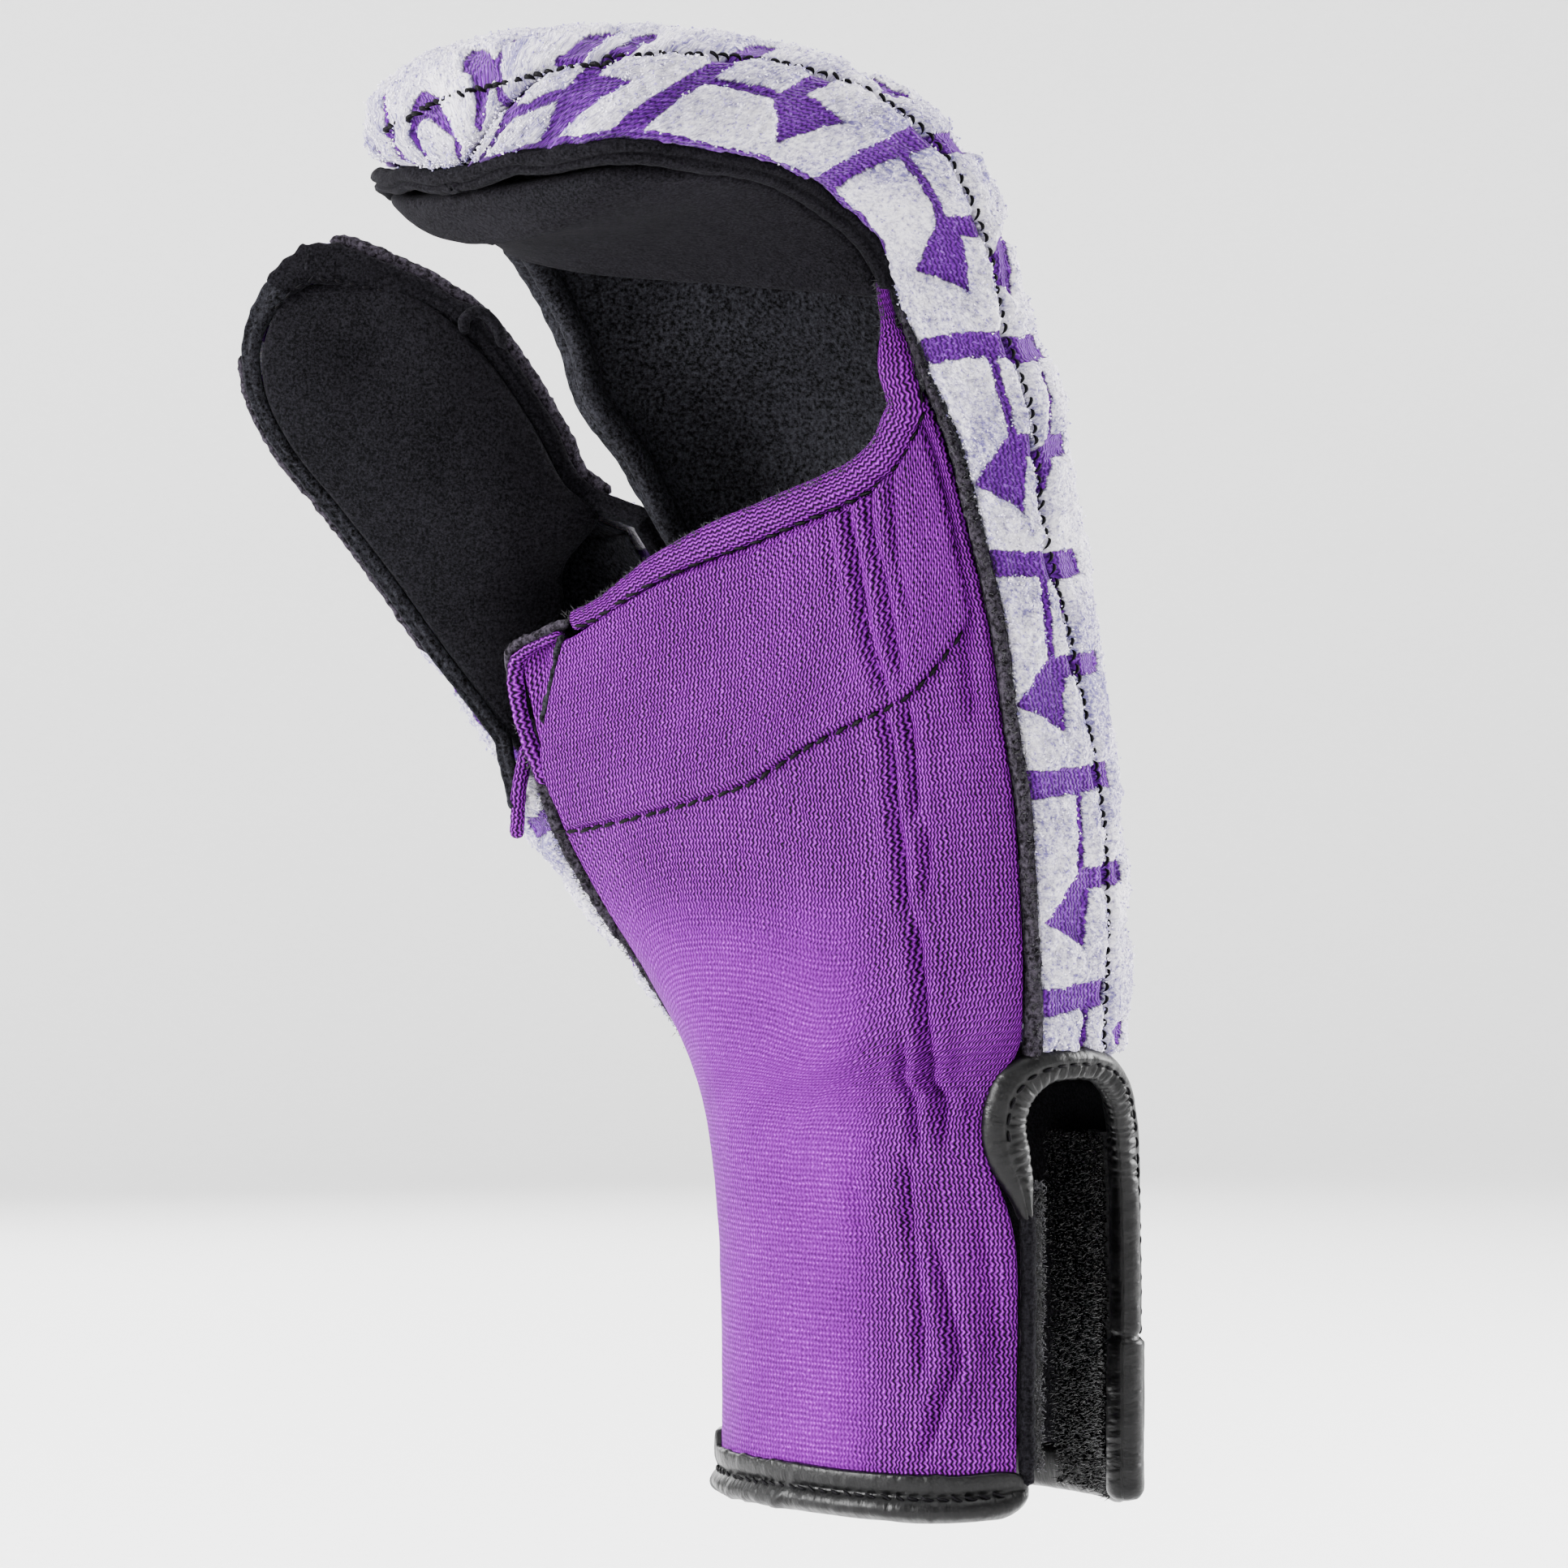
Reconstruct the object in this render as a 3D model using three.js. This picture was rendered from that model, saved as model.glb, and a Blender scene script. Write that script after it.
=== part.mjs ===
// Open-palm neoprene mitten for the left hand, shown as worn, with its wrist flap undone.
// Millimetres. The origin is the middle of the wrist opening at the hem, +Z runs along the
// forearm to the fingers, +X lies toward the back of the hand and -Y toward the little finger.
// The hand part is a tube of sections, one for each station from the hem to the fingertips.
// Around a section 0 degrees is the little-finger edge, 90 the palm, 180 the thumb side and
// -90 the back of the hand. Panels are regions of that tube with a wall of their own.

import * as THREE from 'three';

const palmTurn = 44; // degrees that the palm faces round from -X toward -Y
const squareness = 0.86; // below 1 the sections are fuller than an ellipse
const tipLength = 2.2; // stations over which the hood narrows to its tip
const tipDepth = 1; // stations over which the hood thins to its tip
const tipSlope = 3; // stations over which inner walls draw back from the tip
const tipDrawBack = 0.09; // stations that they draw back there for each millimetre of depth
const closedTip = 0.001; // share of its width that the tip keeps, so no two points meet
const cupSpread = 1.8; // power that gathers the cupping toward the thumb side
const thumbSpread = 2.4; // power that gathers the palm's reach round the thumb's base
const knitWall = 2.3; // purple knit over foam
const fleeceWall = 2.7; // pile fabric over foam
const suedeWall = 2.4; // black smooth foam of the pocket and thumb front
const liningWall = 0.8; // thin black lining
const clearance = 0.3; // gap left between touching pieces
const seamWidth = 2.2; // visible width of an overlocked seam
const hemBindingHeight = 7; // soft black edging round the wrist
const tubeBindingRadius = 2.5; // gathered edging round the slit's round top
const hemRollWidth = 4.2; // folded purple edge above the palm
const flangeWidth = 3.4; // seam allowance that stands out round the thumb
const flangeThickness = 1.7;
const tapeWall = 1.1; // hook and loop tapes
const patchWall = 1.2; // sewn-on palm patch
const beadHeight = 3; // overlocked seams, across their thickness
const seamSink = 0.9; // how deep the seams and turned edges lie in the surface
const edgingSink = 0.8; // the same for the soft edging
const edgeBeadWidth = 3; // rolled edges and the pocket's seam lip
const frontBulge = 5; // how far the thumb's black front swells

// Rows: one section each. back, height and lean place the section's back edge; ulnar and radial are
// its two side edges, thick its depth and cup the palmward bend of the thumb side. reach and lift
// widen the palm over the base of the thumb. The last four columns are angles of the seams.
const sectionColumns = [
  'back', 'height', 'lean', 'ulnar', 'radial', 'thick', 'cup', 'reach', 'lift',
  'ulnarSeam', 'backSeam', 'handEdge', 'palmEdge',
];
const sections = [
  [-26.5, 0, 0, -33.5, 32.5, 53, 0, 0, 0, 18.5, -34, 205, 205], // hem
  [-26.5, 18, 0, -33.5, 32.5, 53, 0, 0, 0, 18.5, -34, 205, 205],
  [-26.5, 36, 0, -33.5, 33.5, 52.5, 0, 0, 0, 18.5, -34, 204, 204],
  [-25.5, 54, 0, -34, 35, 52, 0, 0, 0, 18, -28, 204, 196],
  [-23.5, 70, 2, -35, 36.5, 51, 0, 3, 1, 16.5, -12, 203, 162], // wrist
  [-22, 84, 4, -37, 39, 49, 0, 9, 4, 19.5, -9, 204, 152],
  [-19, 98, 6, -39, 42, 47, 0, 17, 9, 22, -9, 203, 151],
  [-15, 112.5, 9, -40.5, 44, 45, 0, 21, 15, 22.5, -8.5, 200, 147], // base of the thumb
  [-10.5, 127, 12, -41.5, 43.5, 43, 0, 23, 19, 24.5, -4.5, 196, 141],
  [-6.5, 142, 16, -42, 41, 41, 1, 25, 20, 26.5, 0, 190, 137],
  [-1.5, 157, 20, -42, 37.5, 38, 3, 25, 18, 31, 2.5, 180, 134],
  [2.5, 172.5, 25, -42, 38.5, 36, 6, 18, 12, 37, 2, 168, 131],
  [11, 186.5, 37, -41.5, 40.5, 34, 9, 6, 4, 39, 0.5, 170, 129], // knuckles
  [17.5, 202, 52, -41, 44, 32, 10, 0, 0, 46.5, 2.5, 165, 128],
  [29, 213, 66, -40, 46.5, 31, 8, 0, 0, 45.5, -3, 165, 128],
  [44, 218, 78, -38, 44.5, 30, 5, 0, 0, 41.5, -17.5, 160, 128],
  [60, 219, 88, -35, 42, 28.5, 3, 0, 0, 33, -29, 160, 128],
  [76, 218.5, 98, -30, 39, 29, 1, 0, 0, 24, -33, 164, 128],
  [89, 214.5, 110, -25, 34, 28, 0, 0, 0, 11, -42, 171, 128],
  [96, 206, 124, -18, 30, 24, 0, 0, 0, 3, -50, 176, 128], // fingertips
];
const tipStation = sections.length - 1;
const wristEnd = 5; // below this the facets are long and the seams keep a wider gap
const hoodEnd = 17; // so they do past this, where the hood narrows
const panelEnd = tipStation - 0.02; // panels stop here and the tip seam closes them
const fleeceStart = 4.03; // fleece begins here, above the slit
const forkStation = 10.35; // fork between the thumb and the hand
const handEdgeStart = 9.4; // the hand's black edge begins behind the palm
const stripStart = 13.2; // where the finger pocket's seam leaves the palm's edge
const pocketRadialStart = 15; // pocket's free edge on the thumb side
const rootSeamEnd = 7.4; // above this the palm's thumb-side edge is loose
const liningEnd = 16; // the hand's lining is out of sight past here
const flapTop = 3.7;
const flapStart = -155; // angle where the flap leaves the palm piece
const wristJoint = 3.86; // edging between the flap and the fleece
const flapEdge = -36; // angle of the flap's free edge
const hookInset = 6; // degrees from the flap's edge to the hook tape
const hookSpan = 15.5; // degrees that the hook tape covers
const loopTapeAngles = [-5, 3.2]; // the loop tape's sides, measured from the palm's edge
const patchShares = [0.08, 0.86]; // patch's sides, as shares of the way across the palm
const rollEnd = 0.86; // the palm's rolled edge stops here, short of the corner
const rollRoom = 0.27; // stations that the rolled edge takes up
const slantStep = 0.1; // stations each way over which a seam's slant is measured
const mostSlant = 2; // limits the widening of a gap beside a slanted seam
const leastAround = 0.05; // millimetres for one degree, at the narrow tip

// Palm's upper edge: share of the way across from little finger to thumb, then station
const palmTop = [
  [0, 12.4], [0.1, 11.75], [0.2, 11.15], [0.3, 10.85], [0.4, 10.7], [0.5, 10.55],
  [0.6, 10.35], [0.7, 10.1], [0.8, 9.7], [0.85, 9.5], [0.92, 9.45], [1, 9.35],
];
// Sewn-on palm patch's lower edge, the same columns
const patchBottom = [
  [0.08, 9.15], [0.15, 8.85], [0.25, 8.4], [0.35, 8.15], [0.45, 7.85], [0.55, 7.4],
  [0.7, 7.1], [0.86, 6.9],
];
// Pocket's free edge: share across from little finger to thumb, then station
const pocketEdge = [
  [0, 13.15], [0.2, 13.55], [0.4, 14], [0.6, 14.5], [0.8, 14.85], [1, 15],
];
// Edging round the slit: station and angle, from the palm side over the round top to the flap's hem
const slitRoute = [
  [2.7, 19.5], [3, 24], [3.35, 27], [3.65, 23.5], [3.8, 13], [3.85, 0], [3.8, -13],
  [3.6, -25], [3.3, -32], [2.9, -34.5], [2.3, -35], [1.6, -35], [0.9, -35], [0.08, -35],
];

// Palm's little-finger edge as it steps back round the slit's round top: station and angle
const slitLeg = [
  [2.45, 18.5], [2.7, 22.5], [3, 27.5], [3.35, 31], [3.65, 29.5], [3.9, 20.5], [4.15, 17],
];

// Thumb: left and right seam points, then how deep the back bulges and which way it is turned
const thumbColumns = ['leftX', 'leftY', 'leftZ', 'rightX', 'rightY', 'rightZ', 'depth', 'turn'];
const thumbRows = [
  [-96, 6, 194.5, -90.5, 6, 194.5, 4, 0], // tip
  [-101, 6, 189.5, -84, 6, 192, 12, 0],
  [-104.5, 6, 183, -75.5, 6.5, 188, 18, 0],
  [-105.5, 6, 176.5, -68.5, 7, 183, 22, 0],
  [-104, 7.5, 169, -62.5, 8.5, 175.5, 25, 0],
  [-100, 9, 161.5, -57, 10.5, 166.5, 26, 2],
  [-93.5, 10.5, 153.5, -52.5, 12.5, 158, 27, 4],
  [-86, 12.5, 143.5, -47, 14, 153, 26, 7], // fork between thumb and hand
  [-78, 15, 132, -53, 18, 146, 24.5, 11],
  [-70.5, 17, 122, -53.5, 19.5, 139.5, 23, 15],
  [-65, 19, 114.5, -55, 21, 127.5, 21.5, 19],
  [-63, 20.5, 111.5, -58.5, 22, 113.5, 20, 20], // foot of the black front
];
const forkRow = 7;
const backRowsAboveFork = 8;
const flangeLeftEnd = 10.2; // row of the thumb table where the left flange ends
// Below the fork the thumb's back runs on down the side of the hand: station of the palm's edge,
// station of the hand's edge, bulge and turn
const thumbRootRows = [
  [7.5, 8.7, 19.5, 22], [6.8, 7.8, 17, 26], [6, 6.9, 13.5, 30], [5.2, 6, 10, 34],
  [4.4, 5.1, 6.5, 38], [3.75, 4.5, 3.5, 41], [3.15, 3.92, 1.2, 44],
];

const turn = THREE.MathUtils.degToRad(palmTurn);
const palmward = new THREE.Vector3(-Math.cos(turn), -Math.sin(turn), 0);
const thumbward = new THREE.Vector3(-Math.sin(turn), Math.cos(turn), 0);
const away = new THREE.Vector3(0, 1, 0);

function mix(a, b, share) {
  return a + (b - a) * share;
}

function clamp(value, low, high) {
  return Math.min(Math.max(value, low), high);
}

// Smooth row between the rows of a table whose rows are evenly spaced
function rowAt(rows, place) {
  const last = rows.length - 1;
  const at = clamp(place, 0, last);
  const i = Math.min(Math.floor(at), last - 1);
  const t = at - i;
  const here = rows[i];
  const next = rows[i + 1];
  const before = rows[i - 1] ?? here.map((value, k) => 2 * value - next[k]);
  const after = rows[i + 2] ?? next.map((value, k) => 2 * value - here[k]);
  return here.map((value, k) => {
    const slopeIn = (next[k] - before[k]) / 2;
    const slopeOut = (after[k] - value) / 2;
    const rise = next[k] - value;
    return value + t * (slopeIn + t * (3 * rise - 2 * slopeIn - slopeOut
      + t * (slopeIn + slopeOut - 2 * rise)));
  });
}

// Smooth value from a table of place and value with uneven places
function trackAt(table, place) {
  const last = table.length - 1;
  let i = 0;
  while (i < last - 1 && place > table[i + 1][0]) {
    i += 1;
  }
  const [x0, y0] = table[i];
  const [x1, y1] = table[i + 1];
  const slope = (a, b) => (table[b][1] - table[a][1]) / (table[b][0] - table[a][0]);
  const m0 = slope(Math.max(i - 1, 0), i + 1);
  const m1 = slope(i, Math.min(i + 2, last));
  const width = x1 - x0;
  const t = clamp((place - x0) / width, 0, 1);
  const rise = y1 - y0;
  return y0 + t * (m0 * width + t * (3 * rise - (2 * m0 + m1) * width
    + t * ((m0 + m1) * width - 2 * rise)));
}

function named(columns, row) {
  return Object.fromEntries(columns.map((name, k) => [name, row[k]]));
}

function sectionAt(station) {
  return named(sectionColumns, rowAt(sections, station));
}

// Falls from 1 to 0 as a quarter of a superellipse over the given number of stations
function roundEnd(left, length, power) {
  const t = clamp(left / length, 0, 1);
  return (1 - (1 - t) ** power) ** (1 / power);
}

// Point of the tube at a station and an angle, sunk below the outer surface by depth;
// wide is 1 over the palm, where the tube reaches round the base of the thumb
function tubePoint(station, angle, depth, wide) {
  const tipShare = clamp((station - tipStation + tipSlope) / tipSlope, 0, 1);
  const s = sectionAt(station - tipDrawBack * depth * tipShare * tipShare);
  const left = tipStation - station;
  const broad = mix(closedTip, 1, roundEnd(left, tipLength, 2.2));
  const deep = mix(closedTip, 1, roundEnd(left, tipDepth, 2));
  const a = THREE.MathUtils.degToRad(angle);
  const power = (value) => Math.sign(value) * Math.abs(value) ** squareness;
  const across = -power(Math.cos(a));
  const through = power(Math.sin(a));
  const halfWide = (s.radial - s.ulnar) / 2 - depth;
  const halfThick = s.thick / 2 - depth;
  const thumbShare = wide * Math.max(across / 2 + 0.5, 0) ** thumbSpread;
  const middle = s.thick / 2 + s.cup * Math.max(across, 0) ** cupSpread + s.lift * thumbShare;
  const fromBack = middle + halfThick * deep * through;
  const sideways = (s.radial + s.ulnar) / 2 + halfWide * broad * across + s.reach * thumbShare;
  const lean = THREE.MathUtils.degToRad(s.lean);
  const point = new THREE.Vector3(0, 0, s.height - fromBack * Math.sin(lean));
  point.addScaledVector(palmward, s.back + fromBack * Math.cos(lean));
  point.addScaledVector(thumbward, sideways);
  return point;
}

// Angle that lies a given length square to a seam, on one side of it
function besideSeam(seam, station, length, wide) {
  const angle = seam(station);
  const surface = (alongTube, round) => tubePoint(alongTube, round, 0, wide);
  const around = surface(station, angle + 1).distanceTo(surface(station, angle - 1)) / 2;
  const ahead = Math.min(station + slantStep, panelEnd);
  const behind = ahead - 2 * slantStep;
  const swing = seam(ahead) - seam(behind);
  const forward = surface(ahead, angle).distanceTo(surface(behind, angle));
  const slant = Math.min(Math.hypot(1, swing * around / forward), mostSlant);
  return angle + length * slant / Math.max(around, leastAround);
}

// Closed body between two grids of points, its rim joined all the way round
function sheetBetween(outer, inner) {
  const rows = outer.length;
  const columns = outer[0].length;
  const positions = [...outer.flat(), ...inner.flat()].flatMap((p) => [p.x, p.y, p.z]);
  const back = rows * columns;
  const faces = [];
  const quad = (a, b, c, d) => faces.push(a, b, c, a, c, d);
  for (let i = 0; i < rows - 1; i += 1) {
    for (let j = 0; j < columns - 1; j += 1) {
      const a = i * columns + j;
      quad(a, a + 1, a + columns + 1, a + columns);
      quad(back + a, back + a + columns, back + a + columns + 1, back + a + 1);
    }
  }
  const rim = [];
  for (let j = 0; j < columns - 1; j += 1) rim.push(j);
  for (let i = 0; i < rows - 1; i += 1) rim.push(i * columns + columns - 1);
  for (let j = columns - 1; j > 0; j -= 1) rim.push((rows - 1) * columns + j);
  for (let i = rows - 1; i > 0; i -= 1) rim.push(i * columns);
  rim.forEach((here, k) => {
    const next = rim[(k + 1) % rim.length];
    quad(next, here, back + here, back + next);
  });
  return closedBody(positions, faces);
}

// Bar that follows a row of points, its section set out from each point's side and up directions
function barAlong(points, sides, ups, section) {
  const count = section.length;
  const positions = [];
  points.forEach((p, i) => {
    section.forEach(([side, up]) => {
      const corner = p.clone().addScaledVector(sides[i], side).addScaledVector(ups[i], up);
      positions.push(corner.x, corner.y, corner.z);
    });
  });
  const faces = [];
  for (let i = 0; i < points.length - 1; i += 1) {
    for (let k = 0; k < count; k += 1) {
      const a = i * count + k;
      const b = i * count + (k + 1) % count;
      faces.push(a, b, b + count, a, b + count, a + count);
    }
  }
  const end = (points.length - 1) * count;
  for (let k = 1; k < count - 1; k += 1) {
    faces.push(0, k + 1, k, end, end + k, end + k + 1);
  }
  return closedBody(positions, faces);
}

// Geometry whose faces all point out: they are turned if the enclosed volume comes out negative
function closedBody(positions, faces) {
  let volume = 0;
  const corner = (k) => new THREE.Vector3().fromArray(positions, 3 * k);
  for (let k = 0; k < faces.length; k += 3) {
    volume += corner(faces[k]).dot(corner(faces[k + 1]).cross(corner(faces[k + 2])));
  }
  if (volume < 0) {
    faces.reverse();
  }
  const geometry = new THREE.BufferGeometry();
  geometry.setAttribute('position', new THREE.Float32BufferAttribute(positions, 3));
  geometry.setIndex(faces);
  geometry.computeVertexNormals();
  return geometry;
}

// Region of the tube between two seams, low to high station, as a wall at a given depth
function panel({
  wide = 0, from, to, fromGap = () => clearance, toGap = () => clearance, low, high,
  across, along, grade = 1, depth = 0, wall,
}) {
  const grid = (sunk) => Array.from({ length: across + 1 }, (_, i) => {
    const share = i / across;
    const start = low(share);
    const end = high(share);
    return Array.from({ length: along + 1 }, (__, j) => {
      const station = end - (end - start) * (1 - j / along) ** grade;
      const first = besideSeam(from, station, fromGap(station), wide);
      const last = besideSeam(to, station, -toGap(station), wide);
      return tubePoint(station, mix(first, last, share), sunk, wide);
    });
  });
  return sheetBetween(grid(depth), grid(depth + wall));
}

// Oval bead along a route of [station, angle] places on the tube, raised above the surface
function bead({ route, wide = 0, steps, width, height, raise, sides = 6 }) {
  const places = Array.from({ length: steps + 1 }, (_, i) => rowAt(route, (route.length - 1) * i / steps));
  const points = places.map(([station, angle]) => tubePoint(station, angle, -raise, wide));
  const ups = places.map(([station, angle]) => tubePoint(station, angle, -1, wide)
    .sub(tubePoint(station, angle, 1, wide)).normalize());
  const sideways = points.map((_, i) => {
    const ahead = points[Math.min(i + 1, steps)].clone().sub(points[Math.max(i - 1, 0)]);
    return ahead.cross(ups[i]).normalize();
  });
  const oval = Array.from({ length: sides }, (_, k) => {
    const a = 2 * Math.PI * (k + 0.5) / sides;
    return [width / 2 * Math.cos(a), height / 2 * Math.sin(a)];
  });
  return barAlong(points, sideways, ups, oval);
}

function seamRoute(column, start, end, count) {
  return Array.from({ length: count + 1 }, (_, i) => {
    const station = mix(start, end, i / count);
    return [station, sectionAt(station)[column]];
  });
}

function thumbRow(rows, place) {
  const row = named(thumbColumns, rowAt(rows, place));
  return {
    left: new THREE.Vector3(row.leftX, row.leftY, row.leftZ),
    right: new THREE.Vector3(row.rightX, row.rightY, row.rightZ),
    depth: row.depth,
    turn: THREE.MathUtils.degToRad(row.turn),
  };
}

// Rails of the thumb's back: the table's rows as far as the fork, then the edges of palm and hand
const palmEdgeInset = knitWall + 2 * clearance;
function thumbBackRails() {
  const upper = thumbRows.slice(0, backRowsAboveFork);
  const fork = tubePoint(forkStation, sectionAt(forkStation).handEdge, 0, 0);
  const between = thumbRows.slice(backRowsAboveFork, backRowsAboveFork + 3).map((row, i) => {
    const station = mix(10.2, 9.1, i / 2);
    const edge = tubePoint(station, sectionAt(station).handEdge, 0, 0);
    return [row[0], row[1], row[2], edge.x, edge.y, edge.z, row[6], row[7]];
  });
  upper[forkRow] = [...upper[forkRow].slice(0, 3), fork.x, fork.y, fork.z, ...upper[forkRow].slice(6)];
  const root = thumbRootRows.map(([palmStation, handStation, depth, turned]) => {
    const palm = tubePoint(palmStation, sectionAt(palmStation).palmEdge, 0, 1);
    palm.addScaledVector(away, palmEdgeInset);
    const hand = tubePoint(handStation, sectionAt(handStation).handEdge, 0, 0);
    return [palm.x, palm.y, palm.z, hand.x, hand.y, hand.z, depth, turned];
  });
  return [...upper, ...between, ...root];
}

// Grid of points on arcs from the left rail to the right rail
function arcGrid(rows, { along, across, first, last, bulge, lie = 0, trimLeft, trimRight }) {
  return Array.from({ length: along + 1 }, (_, i) => {
    const { left, right, depth, turn: turned } = thumbRow(rows, mix(first, last, i / along));
    const outward = new THREE.Vector3(-Math.sin(turned), Math.cos(turned), 0);
    const handle = outward.multiplyScalar(bulge(depth, i / along) * 4 / 3);
    const arc = new THREE.CubicBezierCurve3(
      left,
      left.clone().lerp(right, lie).add(handle),
      right.clone().lerp(left, lie).add(handle),
      right,
    );
    const length = arc.getLength();
    const start = trimLeft / length;
    const end = 1 - trimRight(mix(first, last, i / along)) / length;
    return Array.from({ length: across + 1 }, (__, j) => arc.getPointAt(mix(start, end, j / across)));
  });
}

// Same grid moved in by a wall's thickness, away from the side that faces out
function sunkGrid(grid, wall, sign) {
  const rows = grid.length - 1;
  const columns = grid[0].length - 1;
  return grid.map((line, i) => line.map((point, j) => {
    const down = grid[Math.min(i + 1, rows)][j].clone().sub(grid[Math.max(i - 1, 0)][j]);
    const side = line[Math.min(j + 1, columns)].clone().sub(line[Math.max(j - 1, 0)]);
    const inward = down.cross(side).normalize().multiplyScalar(wall * sign);
    return point.clone().add(inward);
  }));
}

const finishes = {
  purpleKnit: { color: '#7d28ab', roughness: 0.85, metalness: 0 },
  fleece: { color: '#d9d3e6', roughness: 1, metalness: 0 },
  blackSuede: { color: '#232226', roughness: 0.9, metalness: 0 },
  blackLining: { color: '#141417', roughness: 0.95, metalness: 0 },
  overlock: { color: '#333236', roughness: 0.9, metalness: 0 },
  softEdging: { color: '#26272a', roughness: 0.45, metalness: 0 },
  blackTape: { color: '#0e0e10', roughness: 0.8, metalness: 0 },
};

const mitten = new THREE.Group();
function place(name, geometry, finish) {
  const mesh = new THREE.Mesh(geometry, new THREE.MeshStandardMaterial(finishes[finish]));
  mesh.name = name;
  mitten.add(mesh);
}

const seamGap = (station) => seamWidth / 2 + (station < wristEnd ? 2 : 1) * clearance;
const beadGap = (station) => edgeBeadWidth / 2 + (station > hoodEnd ? 4 : 2) * clearance;
const ulnarSeam = (station) => sectionAt(station).ulnarSeam;
const backSeam = (station) => sectionAt(station).backSeam;
const handEdge = (station) => sectionAt(station).handEdge;
const palmEdge = (station) => sectionAt(station).palmEdge;
const handEdgeBehind = (station) => handEdge(station) - 360;
const handRootGap = (station) => (
  station > handEdgeStart - 0.5 ? beadGap(station) + 2 * clearance : clearance
);
const hemTop = (hemBindingHeight + clearance) / sections[1][1]; // station of the edging's top

function palmFront(station) {
  const inLeg = station > slitLeg[0][0] && station < slitLeg.at(-1)[0];
  return inLeg ? trackAt(slitLeg, station) : ulnarSeam(station);
}

// Stations that the rolled edge takes up: more near the little finger, where it runs steeply
function rollDrop(share) {
  const steepPart = 0.22;
  return rollRoom + 0.5 * Math.max(0, 1 - share / steepPart);
}

function addPalm() {
  place('palm_panel', panel({
    wide: 1,
    from: palmFront,
    to: palmEdge,
    fromGap: seamGap,
    toGap: (station) => (station > rootSeamEnd ? beadGap(station) : seamGap(station)),
    low: () => hemTop,
    high: (share) => trackAt(palmTop, share) - rollDrop(share),
    across: 18,
    along: 20,
    wall: knitWall,
  }), 'purpleKnit');
  place('palm_lining', panel({
    wide: 1,
    from: palmFront,
    to: palmEdge,
    fromGap: () => 3,
    toGap: () => 4,
    low: () => 0.3 * hemTop,
    high: (share) => trackAt(palmTop, share) - 1.6 * rollDrop(share),
    across: 12,
    along: 14,
    depth: knitWall + 2 * clearance,
    wall: liningWall,
  }), 'blackLining');
  const patchAngle = (share) => (station) => mix(ulnarSeam(station), palmEdge(station), share);
  const [patchStart, patchStop] = patchShares;
  place('palm_patch', panel({
    wide: 1,
    from: patchAngle(patchStart),
    to: patchAngle(patchStop),
    low: (share) => trackAt(patchBottom, mix(patchStart, patchStop, share)),
    high: (share) => {
      const place = mix(patchStart, patchStop, share);
      return trackAt(palmTop, place) - 1.15 * rollDrop(place);
    },
    across: 14,
    along: 7,
    depth: -patchWall - clearance,
    wall: patchWall,
  }), 'purpleKnit');
  const besideUlnar = (station) => [station, ulnarSeam(station) + 8];
  const rollRoute = [besideUlnar(12.85), besideUlnar(12.35)];
  for (let i = 0; i <= 14; i += 1) {
    const share = mix(0.1, rollEnd, i / 14);
    const station = trackAt(palmTop, share);
    rollRoute.push([station, mix(ulnarSeam(station), palmEdge(station), share)]);
  }
  place('palm_edge_roll', bead({
    route: rollRoute, wide: 1, steps: 30, width: hemRollWidth, height: 3.6, raise: -1,
  }), 'purpleKnit');
  const cornerShare = 0.915;
  const cornerStation = trackAt(palmTop, cornerShare);
  const cornerRoute = [
    [cornerStation, mix(ulnarSeam(cornerStation), palmEdge(cornerStation), cornerShare)],
    [cornerStation - 0.07, palmEdge(cornerStation) - 3],
  ];
  for (let station = 9.1; station > rootSeamEnd + 0.2; station -= 0.3) {
    cornerRoute.push([station, palmEdge(station)]);
  }
  place('palm_corner', bead({
    route: cornerRoute, wide: 1, steps: 12, width: edgeBeadWidth, height: 3.4, raise: -seamSink,
  }), 'purpleKnit');
}

function addHand() {
  place('side_panel', panel({
    from: backSeam,
    to: ulnarSeam,
    toGap: (station) => (station > stripStart - 0.3 ? beadGap(station) : seamGap(station)),
    low: () => fleeceStart,
    high: () => panelEnd,
    across: 4,
    along: 24,
    grade: 1.7,
    wall: fleeceWall,
  }), 'fleece');
  place('back_panel', panel({
    from: handEdgeBehind,
    to: backSeam,
    fromGap: handRootGap,
    low: () => fleeceStart,
    high: () => panelEnd,
    across: 11,
    along: 24,
    grade: 1.7,
    wall: fleeceWall,
  }), 'fleece');
  place('hand_lining', panel({
    from: handEdgeBehind,
    to: ulnarSeam,
    fromGap: beadGap,
    toGap: () => edgeBeadWidth,
    low: () => fleeceStart + 0.2,
    high: () => liningEnd,
    across: 12,
    along: 12,
    depth: fleeceWall + 3.5 * clearance,
    wall: liningWall,
  }), 'blackLining');
  place('finger_pocket', panel({
    from: ulnarSeam,
    to: handEdge,
    fromGap: beadGap,
    toGap: beadGap,
    low: (share) => trackAt(pocketEdge, share),
    high: () => panelEnd,
    across: 12,
    along: 12,
    grade: 1.4,
    wall: suedeWall,
  }), 'blackSuede');
  place('hand_edge', bead({
    route: seamRoute('handEdge', handEdgeStart, pocketRadialStart - 0.1, 14),
    steps: 18,
    width: edgeBeadWidth,
    height: fleeceWall + liningWall + 2 * clearance,
    raise: -fleeceWall / 2 - clearance,
  }), 'blackLining');
}

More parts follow.
